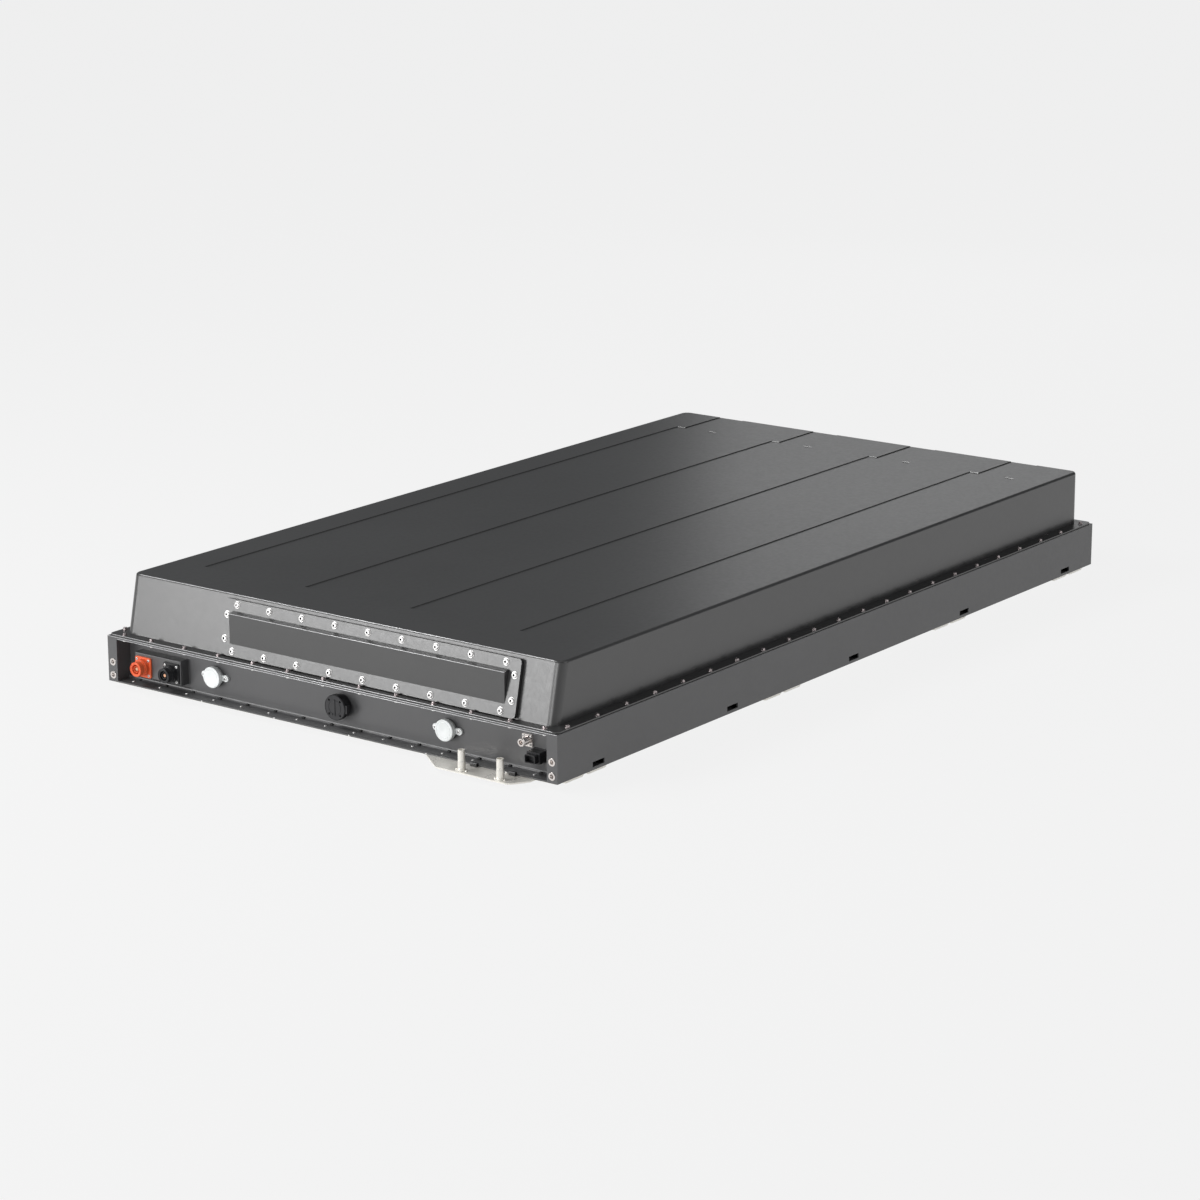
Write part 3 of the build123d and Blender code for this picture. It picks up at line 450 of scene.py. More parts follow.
def stack_rings(mesh: bmesh.types.BMesh, rings: Sequence[Ring], steps: int, matrix: Matrix,
                hollow: bool = False) -> list[bmesh.types.BMVert]:
    """Build a round part by drawing one ring out into the next, then put it in its place.

    Args:
        mesh: The mesh that takes the part.
        rings: Rings from the middle of the part outwards.
        steps: Points round each ring.
        matrix: Place and direction of the part.
        hollow: Whether the last ring meets the first, as in a washer, in place of two caps.

    Returns:
        The part's vertices.
    """
    made = bmesh.ops.create_circle(mesh, cap_ends=not hollow, radius=MM, segments=steps)["verts"]
    loop = sorted(made, key=lambda vert: _angle(vert) % math.tau)
    angles = [_angle(vert) for vert in loop]
    every = list(loop)
    first = _loop_edges(loop)
    _shape_loop(loop, angles, rings[0])
    for ring in rings[1:]:
        grown = bmesh.ops.extrude_edge_only(mesh, edges=_loop_edges(loop))["geom"]
        fresh = [item for item in grown if isinstance(item, bmesh.types.BMVert)]
        loop = [min(fresh, key=lambda new, old=_angle(vert): abs(_angle(new) - old)) for vert in loop]
        _shape_loop(loop, angles, ring)
        every += loop
    if hollow:
        bmesh.ops.bridge_loops(mesh, edges=first + _loop_edges(loop))
    else:
        bmesh.ops.contextual_create(mesh, geom=_loop_edges(loop))
    bmesh.ops.transform(mesh, matrix=matrix, verts=every)
    return every


def _angle(vert: bmesh.types.BMVert) -> float:
    """Return a vertex's angle round the Z axis."""
    return math.atan2(vert.co.y, vert.co.x)


def _shape_loop(loop: Sequence[bmesh.types.BMVert], angles: Sequence[float], ring: Ring) -> None:
    """Move the points of a loop to a ring."""
    for vert, angle in zip(loop, angles):
        vert.co = ring.at(angle)


def _loop_edges(loop: Sequence[bmesh.types.BMVert]) -> list[bmesh.types.BMEdge]:
    """Return the edges between the points of one ring."""
    ring = set(loop)
    return [e for e in {e for v in ring for e in v.link_edges} if e.verts[0] in ring and e.verts[1] in ring]


def block(mesh: bmesh.types.BMesh, low: Vector, high: Vector, soften: float = 0.0) -> None:
    """Add a block between two corners, with softened edges.

    Args:
        mesh: The mesh that takes the block.
        low: Lowest corner.
        high: Highest corner.
        soften: Bevel width in metres.
    """
    size = high - low
    matrix = Matrix.Translation((low + high) / 2) @ Matrix.Diagonal((*size, 1.0))
    verts = bmesh.ops.create_cube(mesh, size=1.0, matrix=matrix)["verts"]
    if soften:
        edges = list({e for v in verts for e in v.link_edges})
        bmesh.ops.bevel(mesh, geom=edges, offset=soften, segments=2, affect="EDGES", profile=0.5, material=-1)


def finish_piece(name: str, mesh: bmesh.types.BMesh, finish: Finish, stands_for: Iterable[str] = (),
                 sharp: float = 35.0) -> bpy.types.Object:
    """Turn a mesh into a dressed piece that rides on the pack.

    Args:
        name: Name of the piece.
        mesh: The finished mesh, which is freed.
        finish: Its finish.
        stands_for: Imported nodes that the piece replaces.
        sharp: Angle in degrees above which an edge stays sharp.

    Returns:
        The new object.
    """
    bmesh.ops.recalc_face_normals(mesh, faces=mesh.faces)
    data = bpy.data.meshes.new(name)
    mesh.to_mesh(data)
    mesh.free()
    data.shade_smooth()
    data.set_sharp_from_angle(angle=math.radians(sharp))
    data.materials.append(finish.material())
    piece = bpy.data.objects.new(name, data)
    bpy.context.scene.collection.objects.link(piece)
    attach(piece, "root")
    for node in stands_for:
        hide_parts(node)
    LOG.info("made %s with %d faces", name, len(data.polygons))
    return piece


# ---------------------------------------------------------------- screws
LOBE_DEPTH = {Drive.LOBED: 0.28, Drive.HEX: 0.13, Drive.NONE: 0.0}      # share of the recess that lobes take
FLAT_DEPTH = 0.134                                                      # share of the radius that flats take
TURN_STEP = 0.7                                                         # turn from one head to the next

# Each pair is a share of the radius and a share of the head's height.
RECESS = ((0.8, 0.35), (1.0, 0.9), (1.06, 1.0))
# painted shade: these recess rings take the near-black finish that stands for the shade inside the recess
RECESS_SHADE_RINGS = 2         # rings of the recess that are dark, from its floor
ROUND_HEAD = ((0.72, 0.98), (0.92, 0.82), (1.0, 0.5), (1.0, 0.2))
FLAT_TOP = ((0.78, 1.0),)
FLAT_SIDES = ((1.0, 0.86), (1.0, 0.25))
WASHER_EDGE = ((0.96, 0.2), (1.0, 0.12), (1.0, 0.0))
HEAD_FOOT = ((1.0, 0.0),)


@dataclass
class ScrewSet:
    """A set of like screw heads, each on the seat of its plain solid.

    Attributes:
        node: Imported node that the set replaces.
        radius: Radius of the head in millimetres.
        height: Height of the head.
        facing: Direction that the heads point to.
        drive: Shape of the recess.
        recess: Radius of the recess.
        washer: Radius of the flange under the head, or 0.
        flats: Flats round the head, or 0 for a round one.
        finish: Finish of the metal.
        steps: Points round each head.
    """

    node: str
    radius: float
    height: float
    facing: Vector
    drive: Drive
    recess: float
    washer: float = 0.0
    flats: int = 0
    finish: Finish = ZINC_STEEL
    steps: int = 24

    def rings(self) -> list[Ring]:
        """Return the head's rings, from the floor of its recess outwards.

        Returns:
            The rings of one head.
        """
        top = self.height
        made = share_rings(self.recess, top, RECESS, self.drive.value, LOBE_DEPTH[self.drive])
        if self.flats:
            made += share_rings(self.radius, top, FLAT_TOP)
            made += share_rings(self.radius, top, FLAT_SIDES, self.flats, FLAT_DEPTH)
        else:
            made += share_rings(self.radius, top, ROUND_HEAD)
        if self.washer:
            return made + share_rings(self.washer, top, WASHER_EDGE)
        return made + share_rings(self.radius, top, HEAD_FOOT)

    def build(self) -> bpy.types.Object:
        """Build a head on every seat, with painted shade in its recess.

        Returns:
            The new object.
        """
        mesh = bmesh.new()
        for index, seat in enumerate(seats(self.node)):
            base = seat.middle - self.facing * (self.height * MM / 2)
            verts = stack_rings(mesh, self.rings(), self.steps, aim(base, self.facing, index * TURN_STEP))
            # painted shade: the recess's faces take the near-black bore_shadow finish
            recess = set(verts[:RECESS_SHADE_RINGS * self.steps])
            for face in {face for vert in recess for face in vert.link_faces}:
                if all(vert in recess for vert in face.verts):
                    face.material_index = 1
        piece = finish_piece(f"{self.node}_detail", mesh, self.finish, (self.node,))
        piece.data.materials.append(PAINTED_SHADE.material())
        return piece


@dataclass
class RivetNuts:
    """Threaded nuts set in the front ends of the side beams.

    Attributes:
        bore: Radius inside the thread's crests.
        flange, flange_t: Radius and thickness of the flange.
        body, length: Radius and length of the body.
        pitch, thread: Pitch and depth of the thread.
        mouth: How much wider than the bore the mouth is.
        rim_in, rim_drop: Chamfer of the flange's rim.
    """

    bore: float = 4.0
    flange: float = 8.5
    flange_t: float = 1.2
    body: float = 5.5
    length: float = 15.0
    pitch: float = 1.25
    thread: float = 0.35
    mouth: float = 0.7
    rim_in: float = 0.5
    rim_drop: float = 0.4

    def rings(self) -> list[Ring]:
        """Return a nut's rings: its thread from the back, then its flange and its body.

        Returns:
            The rings of one nut.
        """
        made = [Ring(self.bore, 0.0)]
        for turn in range(int(self.length / self.pitch)):
            made += [Ring(self.bore + self.thread, (turn + 0.5) * self.pitch),
                     Ring(self.bore, (turn + 1) * self.pitch)]
        top = self.length + self.flange_t
        made += [Ring(self.bore + self.mouth, top), Ring(self.flange - self.rim_in, top),
                 Ring(self.flange, top - self.rim_drop), Ring(self.flange, self.length)]
        return made + [Ring(self.body, self.length), Ring(self.body, 0.0)]

    def build(self) -> bpy.types.Object:
        """Build the nuts with the ridges of their threads.

        Returns:
            The new object.
        """
        mesh = bmesh.new()
        for seat in seats("rivet_nuts"):
            stack_rings(mesh, self.rings(), 40, aim(back_of(seat), Facing.FRONT.vector()), hollow=True)
        return finish_piece("rivet_nuts_detail", mesh, PLATED_METAL, ("rivet_nuts",), sharp=25.0)


# ---------------------------------------------------------------- front end
@dataclass
class VentCaps:
    """White breather caps on the front web.

    Attributes:
        radius, height: Size of a cap.
        face: Rings of the face, each a share of the radius and a drop below the top.
        side: Rings of the side and the undercut, each a share of the radius and of the height.
        steps: Points round each cap.
    """

    radius: float = 23.5
    height: float = 12.0
    face: tuple[tuple[float, float], ...] = ((0.3, 0.4), (0.34, 0.1), (0.72, 0.1), (0.75, 0.9), (0.79, 0.9),
                                             (0.82, 0.0), (0.93, 0.0), (0.985, 0.7), (1.0, 1.8))
    side: tuple[tuple[float, float], ...] = ((1.0, 0.3), (1.0, 0.18), (0.93, 0.12), (0.93, 0.0))
    steps: int = 64

    def build(self) -> bpy.types.Object:
        """Build the flat caps with their rim grooves and undercut.

        Returns:
            The new object.
        """
        mesh = bmesh.new()
        rings = [Ring(self.radius * out, self.height - drop) for out, drop in self.face]
        rings += share_rings(self.radius, self.height, self.side)
        for seat in seats("vent_caps"):
            stack_rings(mesh, rings, self.steps, aim(back_of(seat), Facing.FRONT.vector()))
        return finish_piece("vent_caps_detail", mesh, WHITE_PLASTIC, ("vent_caps",))


@dataclass(frozen=True)
class Sleeve:
    """A round lip or sleeve inside a socket: its radii, how far back it starts and how far it stands out."""

    outer: float
    inner: float
    back: float
    height: float


@dataclass
class HighVoltageSockets:
    """Barrel beads, mouth lips and inner sleeves of the two round high-voltage sockets.

    Attributes:
        nodes: The sockets and their finishes.
        barrel: Radius of the barrel.
        beads: How far back from the mouth each bead lies.
        bead_shape: Rings of a bead, each an offset from the barrel and a height.
        sleeves: The lips on the mouth and the sleeve round the contact.
        round_off: Chamfer of a sleeve.
    """

    nodes: tuple[tuple[str, Finish], ...] = (("hv_socket_orange", ORANGE_PLASTIC),
                                             ("hv_socket_black", BLACK_PLASTIC))
    barrel: float = 16.5
    beads: tuple[float, ...] = (11.5, 15.5, 19.5)
    bead_shape: tuple[tuple[float, float], ...] = ((-0.4, 0.0), (0.5, 0.1), (0.9, 0.6), (0.9, 1.1),
                                                   (0.5, 1.6), (-0.4, 1.7))
    sleeves: tuple[Sleeve, ...] = (Sleeve(14.6, 13.4, 0.0, 0.8), Sleeve(16.4, 15.6, 0.0, 0.6),
                                   Sleeve(7.6, 6.2, 14.0, 12.0))
    round_off: float = 0.3

    def build(self) -> list[bpy.types.Object]:
        """Build the beads and the sleeves of each socket.

        Returns:
            One object for each socket.
        """
        made = []
        for node, finish in self.nodes:
            mouth = mouth_of(as_seat(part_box(node)))
            mesh = bmesh.new()
            for back in self.beads:
                self._bead(mesh, mouth, back)
            for sleeve in self.sleeves:
                self._sleeve(mesh, mouth, sleeve)
            made.append(finish_piece(f"{node}_beads", mesh, finish))
        return made

    def _bead(self, mesh: bmesh.types.BMesh, mouth: Vector, back: float) -> None:
        """Add a bead round the barrel, back from its mouth.

        Args:
            mesh: The mesh that takes it.
            mouth: Middle of the socket's mouth.
            back: How far behind the mouth it lies.
        """
        base = mouth + Vector((0.0, (back + self.bead_shape[-1][1]) * MM, 0.0))
        stack_rings(mesh, offset_rings(self.barrel, self.bead_shape), 56, aim(base, Facing.FRONT.vector()),
                    hollow=True)

    def _sleeve(self, mesh: bmesh.types.BMesh, mouth: Vector, sleeve: Sleeve) -> None:
        """Add a lip or a sleeve with a chamfered front.

        Args:
            mesh: The mesh that takes it.
            mouth: Middle of the socket's mouth.
            sleeve: Its size.
        """
        shoulder, cut = sleeve.height - self.round_off, self.round_off
        rings = [Ring(sleeve.inner, 0.0), Ring(sleeve.inner, shoulder),
                 Ring(sleeve.inner + cut, sleeve.height), Ring(sleeve.outer - cut, sleeve.height),
                 Ring(sleeve.outer, shoulder), Ring(sleeve.outer, 0.0)]
        base = mouth + Vector((0.0, sleeve.back * MM, 0.0))
        stack_rings(mesh, rings, 48, aim(base, Facing.FRONT.vector()), hollow=True)


@dataclass(frozen=True)
class RibRow:
    """Ribs on one stage of the low-voltage connector.

    Attributes:
        inset: Inset of the stage from the connector's sides.
        start, end: How far back from the front the ribs start and end.
        margin: Height at the top and the bottom that stays without ribs.
    """

    inset: float
    start: float
    end: float
    margin: float


@dataclass
class LowVoltageSocket:
    """Ribs round the low-voltage connector.

    Attributes:
        rib, gap, proud: Thickness of a rib, the pitch of the ribs and how far they stand out.
        first, ends: Height of the first rib, and the height at both ends together that has none.
        rows: The ribs of the body and of the nose.
        soften: Bevel of a rib, in metres.
    """

    rib: float = 1.0
    gap: float = 3.4
    proud: float = 0.8
    first: float = 4.0
    ends: float = 6.0
    rows: tuple[RibRow, ...] = (RibRow(0.6, 12.5, 34.0, 0.0), RibRow(4.6, 1.0, 11.5, 6.5))
    soften: float = 0.0002

    def build(self) -> bpy.types.Object:
        """Build the horizontal ribs along the body's sides and nose.

        Returns:
            The new object.
        """
        box = as_seat(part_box("lv_socket"))
        mesh = bmesh.new()
        count = int((box.high.z - box.low.z - self.ends * MM) / (self.gap * MM))
        for i in range(count):
            z = box.low.z + (self.first + i * self.gap) * MM
            for row in self.rows:
                if box.low.z + row.margin * MM < z < box.high.z - row.margin * MM:
                    self._pair(mesh, box, row, z)
        return finish_piece("lv_socket_ribs", mesh, BLACK_PLASTIC)

    def _pair(self, mesh: bmesh.types.BMesh, box: Seat, row: RibRow, z: float) -> None:
        """Add a rib on the left side and one on the right.

        Args:
            mesh: The mesh that takes them.
            box: Box of the connector.
            row: The stage they lie on.
            z: Height of their undersides.
        """
        for x, step in ((box.low.x + row.inset * MM, -1), (box.high.x - row.inset * MM, 1)):
            near = min(x, x + step * self.proud * MM)
            block(mesh, Vector((near, box.low.y + row.start * MM, z)),
                  Vector((near + self.proud * MM, box.low.y + row.end * MM, z + self.rib * MM)), self.soften)


@dataclass
class SignalSocket:
    """Coupling thread and pins of the round signal socket.

    Attributes:
        barrel: Radius of the barrel.
        pitch, turns: Pitch and number of the thread's turns.
        sunk: How far the thread's inner side lies under the barrel.
        crest, crest_span: Height of a ridge, and where it starts and ends in its turn.
        valley, valley_end: Depth of a valley, and how much short of its turn it stops.
        back: How far the thread starts behind the mouth.
        pin_count, pin_circle, pin_back, pin_turn: Number, circle, depth and first angle of the pins.
        pin_shape: Rings of a pin, each a radius and a height.
    """

    barrel: float = 8.0
    pitch: float = 1.5
    turns: int = 10
    sunk: float = 0.3
    crest: float = 0.5
    crest_span: tuple[float, float] = (0.4, 0.7)
    valley: float = 0.1
    valley_end: float = 0.1
    back: float = 1.5
    pin_count: int = 3
    pin_circle: float = 2.6
    pin_back: float = 9.0
    pin_turn: float = 0.5
    pin_shape: tuple[tuple[float, float], ...] = ((0.3, 7.0), (0.6, 6.6), (0.6, 0.0))

    def build(self) -> bpy.types.Object:
        """Build the thread ridges and the pins.

        Returns:
            The new object.
        """
        mouth = mouth_of(as_seat(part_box("signal_socket")))
        mesh = bmesh.new()
        base = mouth + Vector((0.0, (self.turns * self.pitch + self.back) * MM, 0.0))
        stack_rings(mesh, self._thread(), 40, aim(base, Facing.FRONT.vector()), hollow=True)
        for k in range(self.pin_count):
            angle = k * math.tau / self.pin_count + self.pin_turn
            pin = mouth + Vector((self.pin_circle * MM * math.cos(angle), self.pin_back * MM,
                                  self.pin_circle * MM * math.sin(angle)))
            stack_rings(mesh, offset_rings(0.0, self.pin_shape), 12, aim(pin, Facing.FRONT.vector()))
        return finish_piece("signal_socket_thread", mesh, PLATED_METAL)

    def _thread(self) -> list[Ring]:
        """Return the thread's rings, from the mouth to the back.

        Returns:
            The rings of the whole thread.
        """
        length = self.turns * self.pitch
        made = [Ring(self.barrel - self.sunk, length)]
        for turn in range(self.turns):
            z = length - turn * self.pitch
            made += [Ring(self.barrel + self.crest, z - start) for start in self.crest_span]
            made.append(Ring(self.barrel - self.valley, z - self.pitch + self.valley_end))
        made.append(Ring(self.barrel - self.sunk, 0.0))
        return made


@dataclass
class ReliefValve:
    """Raised circles and hooked rib on the face of the round relief valve.

    Attributes:
        radius: Radius of the cap.
        face_back: How far the face lies behind the cap's front.
        circles: Outer radius of each raised circle.
        circle_shape: Rings of a circle, each an offset from its outer radius and a height.
        hook: Lowest and highest corner of each leg of the rib, from the middle of the face.
        soften: Bevel of the rib, in metres.
    """

    radius: float = 28.0
    face_back: float = 1.2
    circles: tuple[float, ...] = (27.2, 17.0)
    circle_shape: tuple[tuple[float, float], ...] = ((-1.0, 0.0), (-0.8, 0.6), (-0.2, 0.6), (0.0, 0.0))
    hook: tuple[tuple[tuple[float, float, float], tuple[float, float, float]], ...] = (
        ((-7.5, -1.1, -18.0), (1.2, 0.0, -15.8)),
        ((-7.5, -1.1, -18.0), (-5.5, 0.0, -12.0)))
    soften: float = 0.0003

    def build(self) -> list[bpy.types.Object]:
        """Build the raised circles and the hooked rib.

        Returns:
            The circles and the rib.
        """
        box = as_seat(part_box("relief_valve_cap"))
        face = Vector((box.low.x + self.radius * MM, box.low.y + self.face_back * MM, box.middle.z))
        mesh = bmesh.new()
        for radius in self.circles:
            stack_rings(mesh, offset_rings(radius, self.circle_shape), 64, aim(face, Facing.FRONT.vector()),
                        hollow=True)
        trim = finish_piece("relief_valve_circles", mesh, BLACK_PLASTIC)
        hook = bmesh.new()
        for low, high in self.hook:
            block(hook, face + Vector(low) * MM, face + Vector(high) * MM, self.soften)
        return [trim, finish_piece("relief_valve_hook", hook, BLACK_PLASTIC)]


@dataclass
class CoolantFittings:
    """Braze fillets and side pips at the feet of the coolant spigots.

    Attributes:
        nodes: The spigots.
        foot: Radius of a spigot's foot.
        fillet: Rings of a fillet, each an offset from the foot and a height.
        pip_out, pip_front: How far a pip lies to the side and to the front.
        pip_shape: Rings of a pip, each a radius and a height.
    """

    nodes: tuple[str, ...] = ("coolant_inlet", "coolant_outlet")
    foot: float = 9.2
    fillet: tuple[tuple[float, float], ...] = ((-0.6, 1.6), (0.3, 0.9), (1.4, 0.35), (2.6, 0.0))
    pip_out: float = 12.5
    pip_front: float = 1.0
    pip_shape: tuple[tuple[float, float], ...] = ((0.8, 3.0), (1.8, 2.4), (2.4, 1.2), (2.5, 0.0))

    def build(self) -> bpy.types.Object:
        """Build the foot fillets and the pips beside them.

        Returns:
            The new object.
        """
        mesh = bmesh.new()
        for box in (as_seat(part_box(node)) for node in self.nodes):
            base = Vector((box.middle.x, box.middle.y, box.low.z))
            stack_rings(mesh, offset_rings(self.foot, self.fillet), 40, Matrix.Translation(base), hollow=True)
            for side in (-1, 1):
                pip = base + Vector((side * self.pip_out * MM, -self.pip_front * MM, 0.0))
                stack_rings(mesh, offset_rings(0.0, self.pip_shape), 20, Matrix.Translation(pip))
        return finish_piece("coolant_foot_fillets", mesh, NICKEL_SHEET)


@dataclass
class LedgeTrim:
    """Dark blocks painted as the shade in the drain notches on the front ledge, and the rivets on its front
    edge.

    Attributes:
        notch_pitch, notch_first, notch_count: Pitch, first place across the pack and number of the notches.
        notch_half: Half the width of a notch.
        notch_low, notch_high: Lowest and highest corner of a notch in Y and Z, from the front beam's corner.
        rivet_pitch, rivet_first, rivet_count: Pitch, first place across the pack and number of the rivets.
        rivet_z: Height of the rivets.
        rivet_shape: Rings of a rivet, each a radius and a height.
        soften: Bevel of a notch, in metres.
    """

    notch_pitch: float = 80.0
    notch_first: float = -561.0
    notch_count: int = 15
    notch_half: float = 3.5
    notch_low: tuple[float, float] = (29.0, 2.9)
    notch_high: tuple[float, float] = (34.5, 6.4)
    rivet_pitch: float = 210.0
    rivet_first: float = -346.0
    rivet_count: int = 5
    rivet_z: float = 1.6
    rivet_shape: tuple[tuple[float, float], ...] = ((0.8, 1.0), (1.5, 0.8), (1.5, 0.0))
    soften: float = 0.0006

    def build(self) -> list[bpy.types.Object]:
        """Build the notches and the rivet heads.

        Returns:
            The notches and the rivets.
        """
        corner = as_seat(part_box("front_beam")).low
        return [self._notches(corner), self._rivets(corner)]

    def _notches(self, corner: Vector) -> bpy.types.Object:
        """Build the dark blocks painted as the shade in the notches, from the front beam's lowest corner.

        Args:
            corner: Lowest corner of the front beam.

        Returns:
            The new object.
        """
        # painted shade: near-black blocks stand for the notches and the shade inside them
        mesh = bmesh.new()
        for i in range(self.notch_count):
            x = (self.notch_first + i * self.notch_pitch) * MM
            (y0, z0), (y1, z1) = self.notch_low, self.notch_high
            block(mesh, Vector((x - self.notch_half * MM, corner.y + y0 * MM, corner.z + z0 * MM)),
                  Vector((x + self.notch_half * MM, corner.y + y1 * MM, corner.z + z1 * MM)), self.soften)
        return finish_piece("ledge_notch_shade", mesh, PAINTED_SHADE)

    def _rivets(self, corner: Vector) -> bpy.types.Object:
        """Build the rivet heads, from the front beam's lowest corner.

        Args:
            corner: Lowest corner of the front beam.

        Returns:
            The new object.
        """
        mesh = bmesh.new()
        for i in range(self.rivet_count):
            x = (self.rivet_first + i * self.rivet_pitch) * MM
            place = Vector((x, corner.y, corner.z + self.rivet_z * MM))
            stack_rings(mesh, offset_rings(0.0, self.rivet_shape), 20, aim(place, Facing.FRONT.vector()))
        return finish_piece("ledge_rivets", mesh, ZINC_STEEL)


@dataclass(frozen=True)
class EdgeRun:
    """A straight pale strip across the front end, painted as the highlight on an edge.

    Attributes:
        inset: How far the run stops short of each side of the frame.
        level: Height of the edge.
        depth: Where the run starts and ends in Y, from the front of the frame.
        rise: Where it starts and ends in Z, from its level.
    """

    inset: float
    level: float
    depth: tuple[float, float]
    rise: tuple[float, float]


@dataclass
class EdgeHighlightStrips:
    """Pale strips painted as the highlights on the edges of the frame, the flanges, the cover and the wedge.

    Attributes:
        across: Edges of the frame's top, its lip and the cover's flange.
        side_t, side_rise: Width of the edge along each side, and where it lies under the frame's top.
        end_gap: How far the side edges stop short of the frame's ends.
        wall, foot, corner: Inset of the cover's wall, and what its foot and corner add.
        cover_back, cover_drop: How far the cover's edge lies behind the slope's top and under the cover's.
        line: Thickness of the cover's and the wedge's edges.
        panel_off, wedge_low, wedge_h: Place of the wedge's top edge: off the slope, up the slope and up.
        wedge_w, wedge_x: Width of the wedge and where its middle is.
        soften: Bevel of an edge, in metres.
    """

    across: tuple[EdgeRun, ...] = (EdgeRun(1.0, FRAME_TOP, (-0.5, 0.6), (-1.0, -0.1)),
                                   EdgeRun(28.0, FRAME_TOP, (-0.4, 0.6), (-5.5, -4.6)),
                                   EdgeRun(14.0, FLANGE_TOP, (1.6, 2.5), (-0.8, 0.1)))
    side_t: float = 1.0
    side_rise: tuple[float, float] = (-0.9, -0.1)
    end_gap: float = 1.0
    wall: float = 28.5
    foot: float = 3.0
    corner: float = 20.0
    cover_back: float = 0.9
    cover_drop: float = 1.5
    line: float = 1.1
    panel_off: float = 9.0
    wedge_low: float = 27.0
    wedge_h: float = 66.5
    wedge_w: float = 753.5
    wedge_x: float = 94.5
    soften: float = 0.0003

    def build(self) -> bpy.types.Object:
        """Build every painted edge highlight as one piece.

        Returns:
            The new object.
        """
        left, right = as_seat(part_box("side_beam_left")), as_seat(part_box("side_beam_right"))
        low, high = left.low, Vector((right.high.x, left.high.y, left.high.z))
        mesh = bmesh.new()
        runs = [self._across(run, low, high) for run in self.across]
        runs += [self._along(high.x - self.side_t * MM, low, high), self._along(low.x, low, high)]
        runs += [self._cover_edge(low, high), self._wedge_edge(low)]
        # painted highlight: pale strips laid along the edges where the glints fall
        for start, end in runs:
            block(mesh, start, end, self.soften)
        return finish_piece("painted_edge_highlights", mesh, EDGE_HIGHLIGHT_PAINT)

    def _across(self, run: EdgeRun, low: Vector, high: Vector) -> tuple[Vector, Vector]:
        """Return the corners of an edge across the front, between the frame's corners.

        Args:
            run: The edge.
            low: Lowest corner of the frame.
            high: Highest corner of the frame.

        Returns:
            The edge's lowest and highest corner.
        """
        start = Vector((low.x + run.inset * MM, low.y + run.depth[0] * MM, (run.level + run.rise[0]) * MM))
        end = Vector((high.x - run.inset * MM, low.y + run.depth[1] * MM, (run.level + run.rise[1]) * MM))
        return start, end

    def _along(self, x: float, low: Vector, high: Vector) -> tuple[Vector, Vector]:
        """Return the corners of an edge along a side beam, from its left side.

        Args:
            x: Where the edge starts across the pack.
            low: Lowest corner of the frame.
            high: Highest corner of the frame.

        Returns:
            The edge's lowest and highest corner.
        """
        start = Vector((x, low.y + self.end_gap * MM, (FRAME_TOP + self.side_rise[0]) * MM))
        end = Vector((x + self.side_t * MM, high.y - self.end_gap * MM,
                      (FRAME_TOP + self.side_rise[1]) * MM))
        return start, end

    def _cover_edge(self, low: Vector, high: Vector) -> tuple[Vector, Vector]:
        """Return the run along the rounded edge between the sloping front and the top.

        Args:
            low: Lowest corner of the frame.
            high: Highest corner of the frame.

        Returns:
            The run's lowest and highest corner.
        """
        inset = (self.wall + self.corner + self.foot) * MM
        y = low.y + (self.wall + FRONT_LEAN + self.cover_back) * MM
        z = as_seat(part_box("top_cover")).high.z - self.cover_drop * MM
        half = self.line / 2 * MM
        return Vector((low.x + inset, y - half, z - half)), Vector((high.x - inset, y + half, z + half))

    def _wedge_edge(self, low: Vector) -> tuple[Vector, Vector]:
        """Return the run along the top edge of the wedge on the access panel.

        Args:
            low: Lowest corner of the frame.

        Returns:
            The run's lowest and highest corner.
        """
        lean = math.atan2(FRONT_LEAN, COVER_RISE)
        y = low.y + (self.wall + self.wedge_low * math.sin(lean) - self.panel_off * math.cos(lean)) * MM
        up_slope = self.wedge_low * math.cos(lean) + self.panel_off * math.sin(lean)
        z = (FLANGE_TOP + up_slope + self.wedge_h) * MM
        half = self.line / 2 * MM
        return (Vector(((self.wedge_x - self.wedge_w / 2) * MM, y - half, z - half)),
                Vector(((self.wedge_x + self.wedge_w / 2) * MM, y + half, z + half)))


# ---------------------------------------------------------------- studio
@dataclass(frozen=True)
class Lamp:
    """An area lamp: its name, place, width and height in metres, and power in watts."""

    name: str
    place: tuple[float, float, float]
    size: tuple[float, float]
    power: float


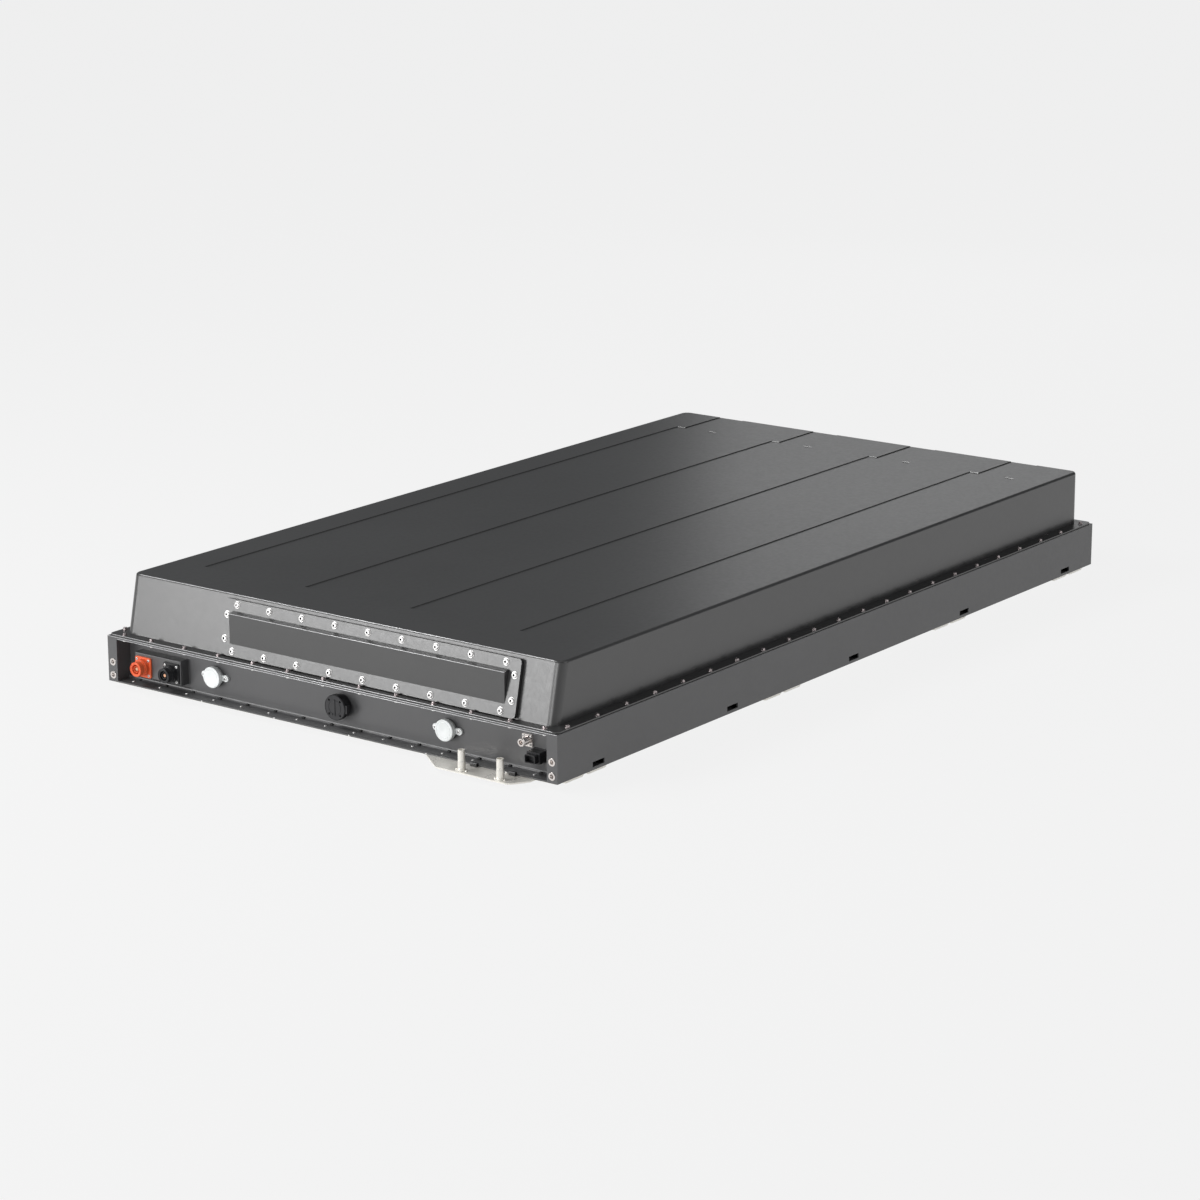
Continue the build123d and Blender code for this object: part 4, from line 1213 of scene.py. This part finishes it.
@dataclass
class Studio:
    """Floor, lamps, world and camera.

    Attributes:
        eye, azimuth, elevation, roll: Place and angles of the camera, in metres and degrees.
        lens, sensor, far: Lens and sensor of the camera in millimetres, and how far it sees.
        floor_size, floor_colour: Size of the floor, and its colour in the object's light.
        pale, floor_share: Brightness of the floor to the camera, and the share of it that is even.
        sky, sky_strength: Colour and strength of the world's light.
        look_at: Point that every lamp faces.
        lamps: The lamps.
    """

    eye: tuple[float, float, float] = (4.678, -6.350, 2.2035)
    azimuth: float = 36.762
    elevation: float = 15.161
    roll: float = -0.10
    lens: float = 104.54
    sensor: float = 36.0
    far: float = 200.0
    floor_size: float = 90.0
    floor_colour: tuple[float, float, float, float] = (0.8, 0.8, 0.8, 1.0)
    pale: float = 0.925
    floor_share: float = 0.92
    sky: tuple[float, float, float, float] = (0.9, 0.92, 0.95, 1.0)
    sky_strength: float = 0.17
    look_at: tuple[float, float, float] = (0.0, -0.6, 0.15)
    lamps: tuple[Lamp, ...] = (
        Lamp("key", (-2.9, -5.2, 0.95), (2.6, 1.7), 110.0),
        Lamp("front", (0.6, -6.5, 1.4), (2.5, 1.5), 90.0),
        Lamp("strip", (-2.3, -2.2, 3.4), (3.2, 0.6), 95.0),
        Lamp("top", (0.8, -0.6, 4.2), (4.0, 3.0), 12.0),
        Lamp("right", (4.6, 0.4, 2.4), (3.0, 2.0), 28.0),
        Lamp("back", (-1.9, 5.0, 1.7), (2.4, 1.6), 9.0),
    )

    def build(self) -> None:
        """Build the studio."""
        self._world()
        self._floor()
        for lamp in self.lamps:
            self._hang(lamp)
        self._camera()
        bpy.context.scene.view_settings.view_transform = "Standard"

    def _world(self) -> None:
        """Give the world an even, soft light."""
        world = bpy.data.worlds.new("studio_world")
        world.use_nodes = True
        graph = Graph(world.node_tree)
        output = graph.add("ShaderNodeOutputWorld")
        light = graph.add("ShaderNodeBackground", color=self.sky, strength=self.sky_strength)
        graph.join(light.outputs[0], output.inputs["Surface"])
        bpy.context.scene.world = world

    def _floor(self) -> None:
        """Lay a pale floor that looks even to the camera and keeps a light shadow."""
        mesh = bmesh.new()
        bmesh.ops.create_grid(mesh, x_segments=1, y_segments=1, size=self.floor_size / 2)
        data = bpy.data.meshes.new("studio_floor")
        mesh.to_mesh(data)
        mesh.free()
        floor = bpy.data.objects.new("studio_floor", data)
        bpy.context.scene.collection.objects.link(floor)
        data.materials.append(self._floor_material())

    def _floor_material(self) -> bpy.types.Material:
        """Return a material that takes shadow and shows nearly even to the camera and in reflections.

        Returns:
            The floor's material.
        """
        material = bpy.data.materials.new("studio_floor")
        material.use_nodes = True
        graph = Graph(material.node_tree)
        output = graph.add("ShaderNodeOutputMaterial")
        shade = graph.add("ShaderNodeBsdfDiffuse", color=self.floor_colour)
        glow = graph.add("ShaderNodeEmission", color=(self.pale, self.pale, self.pale, 1.0), strength=1.0)
        path = graph.add("ShaderNodeLightPath")
        seen = path.outputs["Is Camera Ray"]
        for ray in ("Is Glossy Ray", "Is Transmission Ray"):
            either = graph.add("ShaderNodeMath", operation="MAXIMUM")
            graph.join(seen, either.inputs[0])
            graph.join(path.outputs[ray], either.inputs[1])
            seen = either.outputs[0]
        share = graph.add("ShaderNodeMath", operation="MULTIPLY")
        share.inputs[1].default_value = self.floor_share
        graph.join(seen, share.inputs[0])
        blend = graph.add("ShaderNodeMixShader")
        for source, target in zip((share, shade, glow), blend.inputs):
            graph.join(source.outputs[0], target)
        graph.join(blend.outputs[0], output.inputs["Surface"])
        return material

    def _hang(self, lamp: Lamp) -> None:
        """Hang an area lamp that faces the middle of the pack's front half.

        Args:
            lamp: The lamp.
        """
        light = bpy.data.lights.new(lamp.name, "AREA")
        light.shape = "RECTANGLE"
        light.size, light.size_y = lamp.size
        light.energy = lamp.power
        holder = bpy.data.objects.new(lamp.name, light)
        holder.location = lamp.place
        sight = Vector(self.look_at) - Vector(lamp.place)
        holder.rotation_euler = sight.to_track_quat("-Z", "Y").to_euler()
        bpy.context.scene.collection.objects.link(holder)

    def _camera(self) -> None:
        """Set the camera to its place and angle."""
        data = bpy.data.cameras.new("studio_camera")
        data.sensor_width = self.sensor
        data.lens = self.lens
        data.clip_end = self.far
        camera = bpy.data.objects.new("studio_camera", data)
        az, el = math.radians(self.azimuth), math.radians(self.elevation)
        along = Vector((-math.sin(az) * math.cos(el), math.cos(az) * math.cos(el), -math.sin(el)))
        turn = along.to_track_quat("-Z", "Y").to_matrix().to_4x4()
        tilt = Matrix.Rotation(math.radians(self.roll), 4, "Z")
        camera.matrix_world = Matrix.Translation(self.eye) @ turn @ tilt
        bpy.context.scene.collection.objects.link(camera)
        bpy.context.scene.camera = camera


def slope_normal() -> Vector:
    """Return the direction that the screws of the sloping panel point to."""
    lean = math.atan2(FRONT_LEAN, COVER_RISE)
    return Vector((0.0, -math.cos(lean), math.sin(lean)))


def screw_sets() -> list[ScrewSet]:
    """List every set of screws on the pack."""
    up, front = Facing.UP.vector(), Facing.FRONT.vector()
    return [
        ScrewSet("panel_screws", 6.6, 4.0, slope_normal(), Drive.LOBED, 3.1, washer=8.0),
        ScrewSet("cover_screws", 4.6, 5.0, up, Drive.NONE, 1.6, washer=5.9, flats=6, finish=PINK_STEEL),
        ScrewSet("hv_socket_screws", 3.2, 2.4, front, Drive.HEX, 1.5, steps=18),
        ScrewSet("vent_screws", 4.0, 2.5, front, Drive.LOBED, 2.0),
        ScrewSet("signal_screws", 2.4, 1.8, front, Drive.HEX, 1.1, steps=18),
        ScrewSet("ledge_screws", 3.0, 1.5, up, Drive.HEX, 1.3, steps=18),
        ScrewSet("flange_nuts", 4.5, 5.0, Facing.DOWN.vector(), Drive.NONE, 2.2, flats=6),
    ]


def main() -> None:
    """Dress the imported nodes, then build every detail and the studio."""
    logging.basicConfig(level=logging.INFO, format="%(name)s: %(message)s")
    dress_nodes()
    assemblies = (*screw_sets(), RivetNuts(), VentCaps(), HighVoltageSockets(), LowVoltageSocket(),
                  SignalSocket(), ReliefValve(), CoolantFittings(), LedgeTrim(), EdgeHighlightStrips(), Studio())
    for assembly in assemblies:
        assembly.build()


if __name__ == "__main__":
    main()
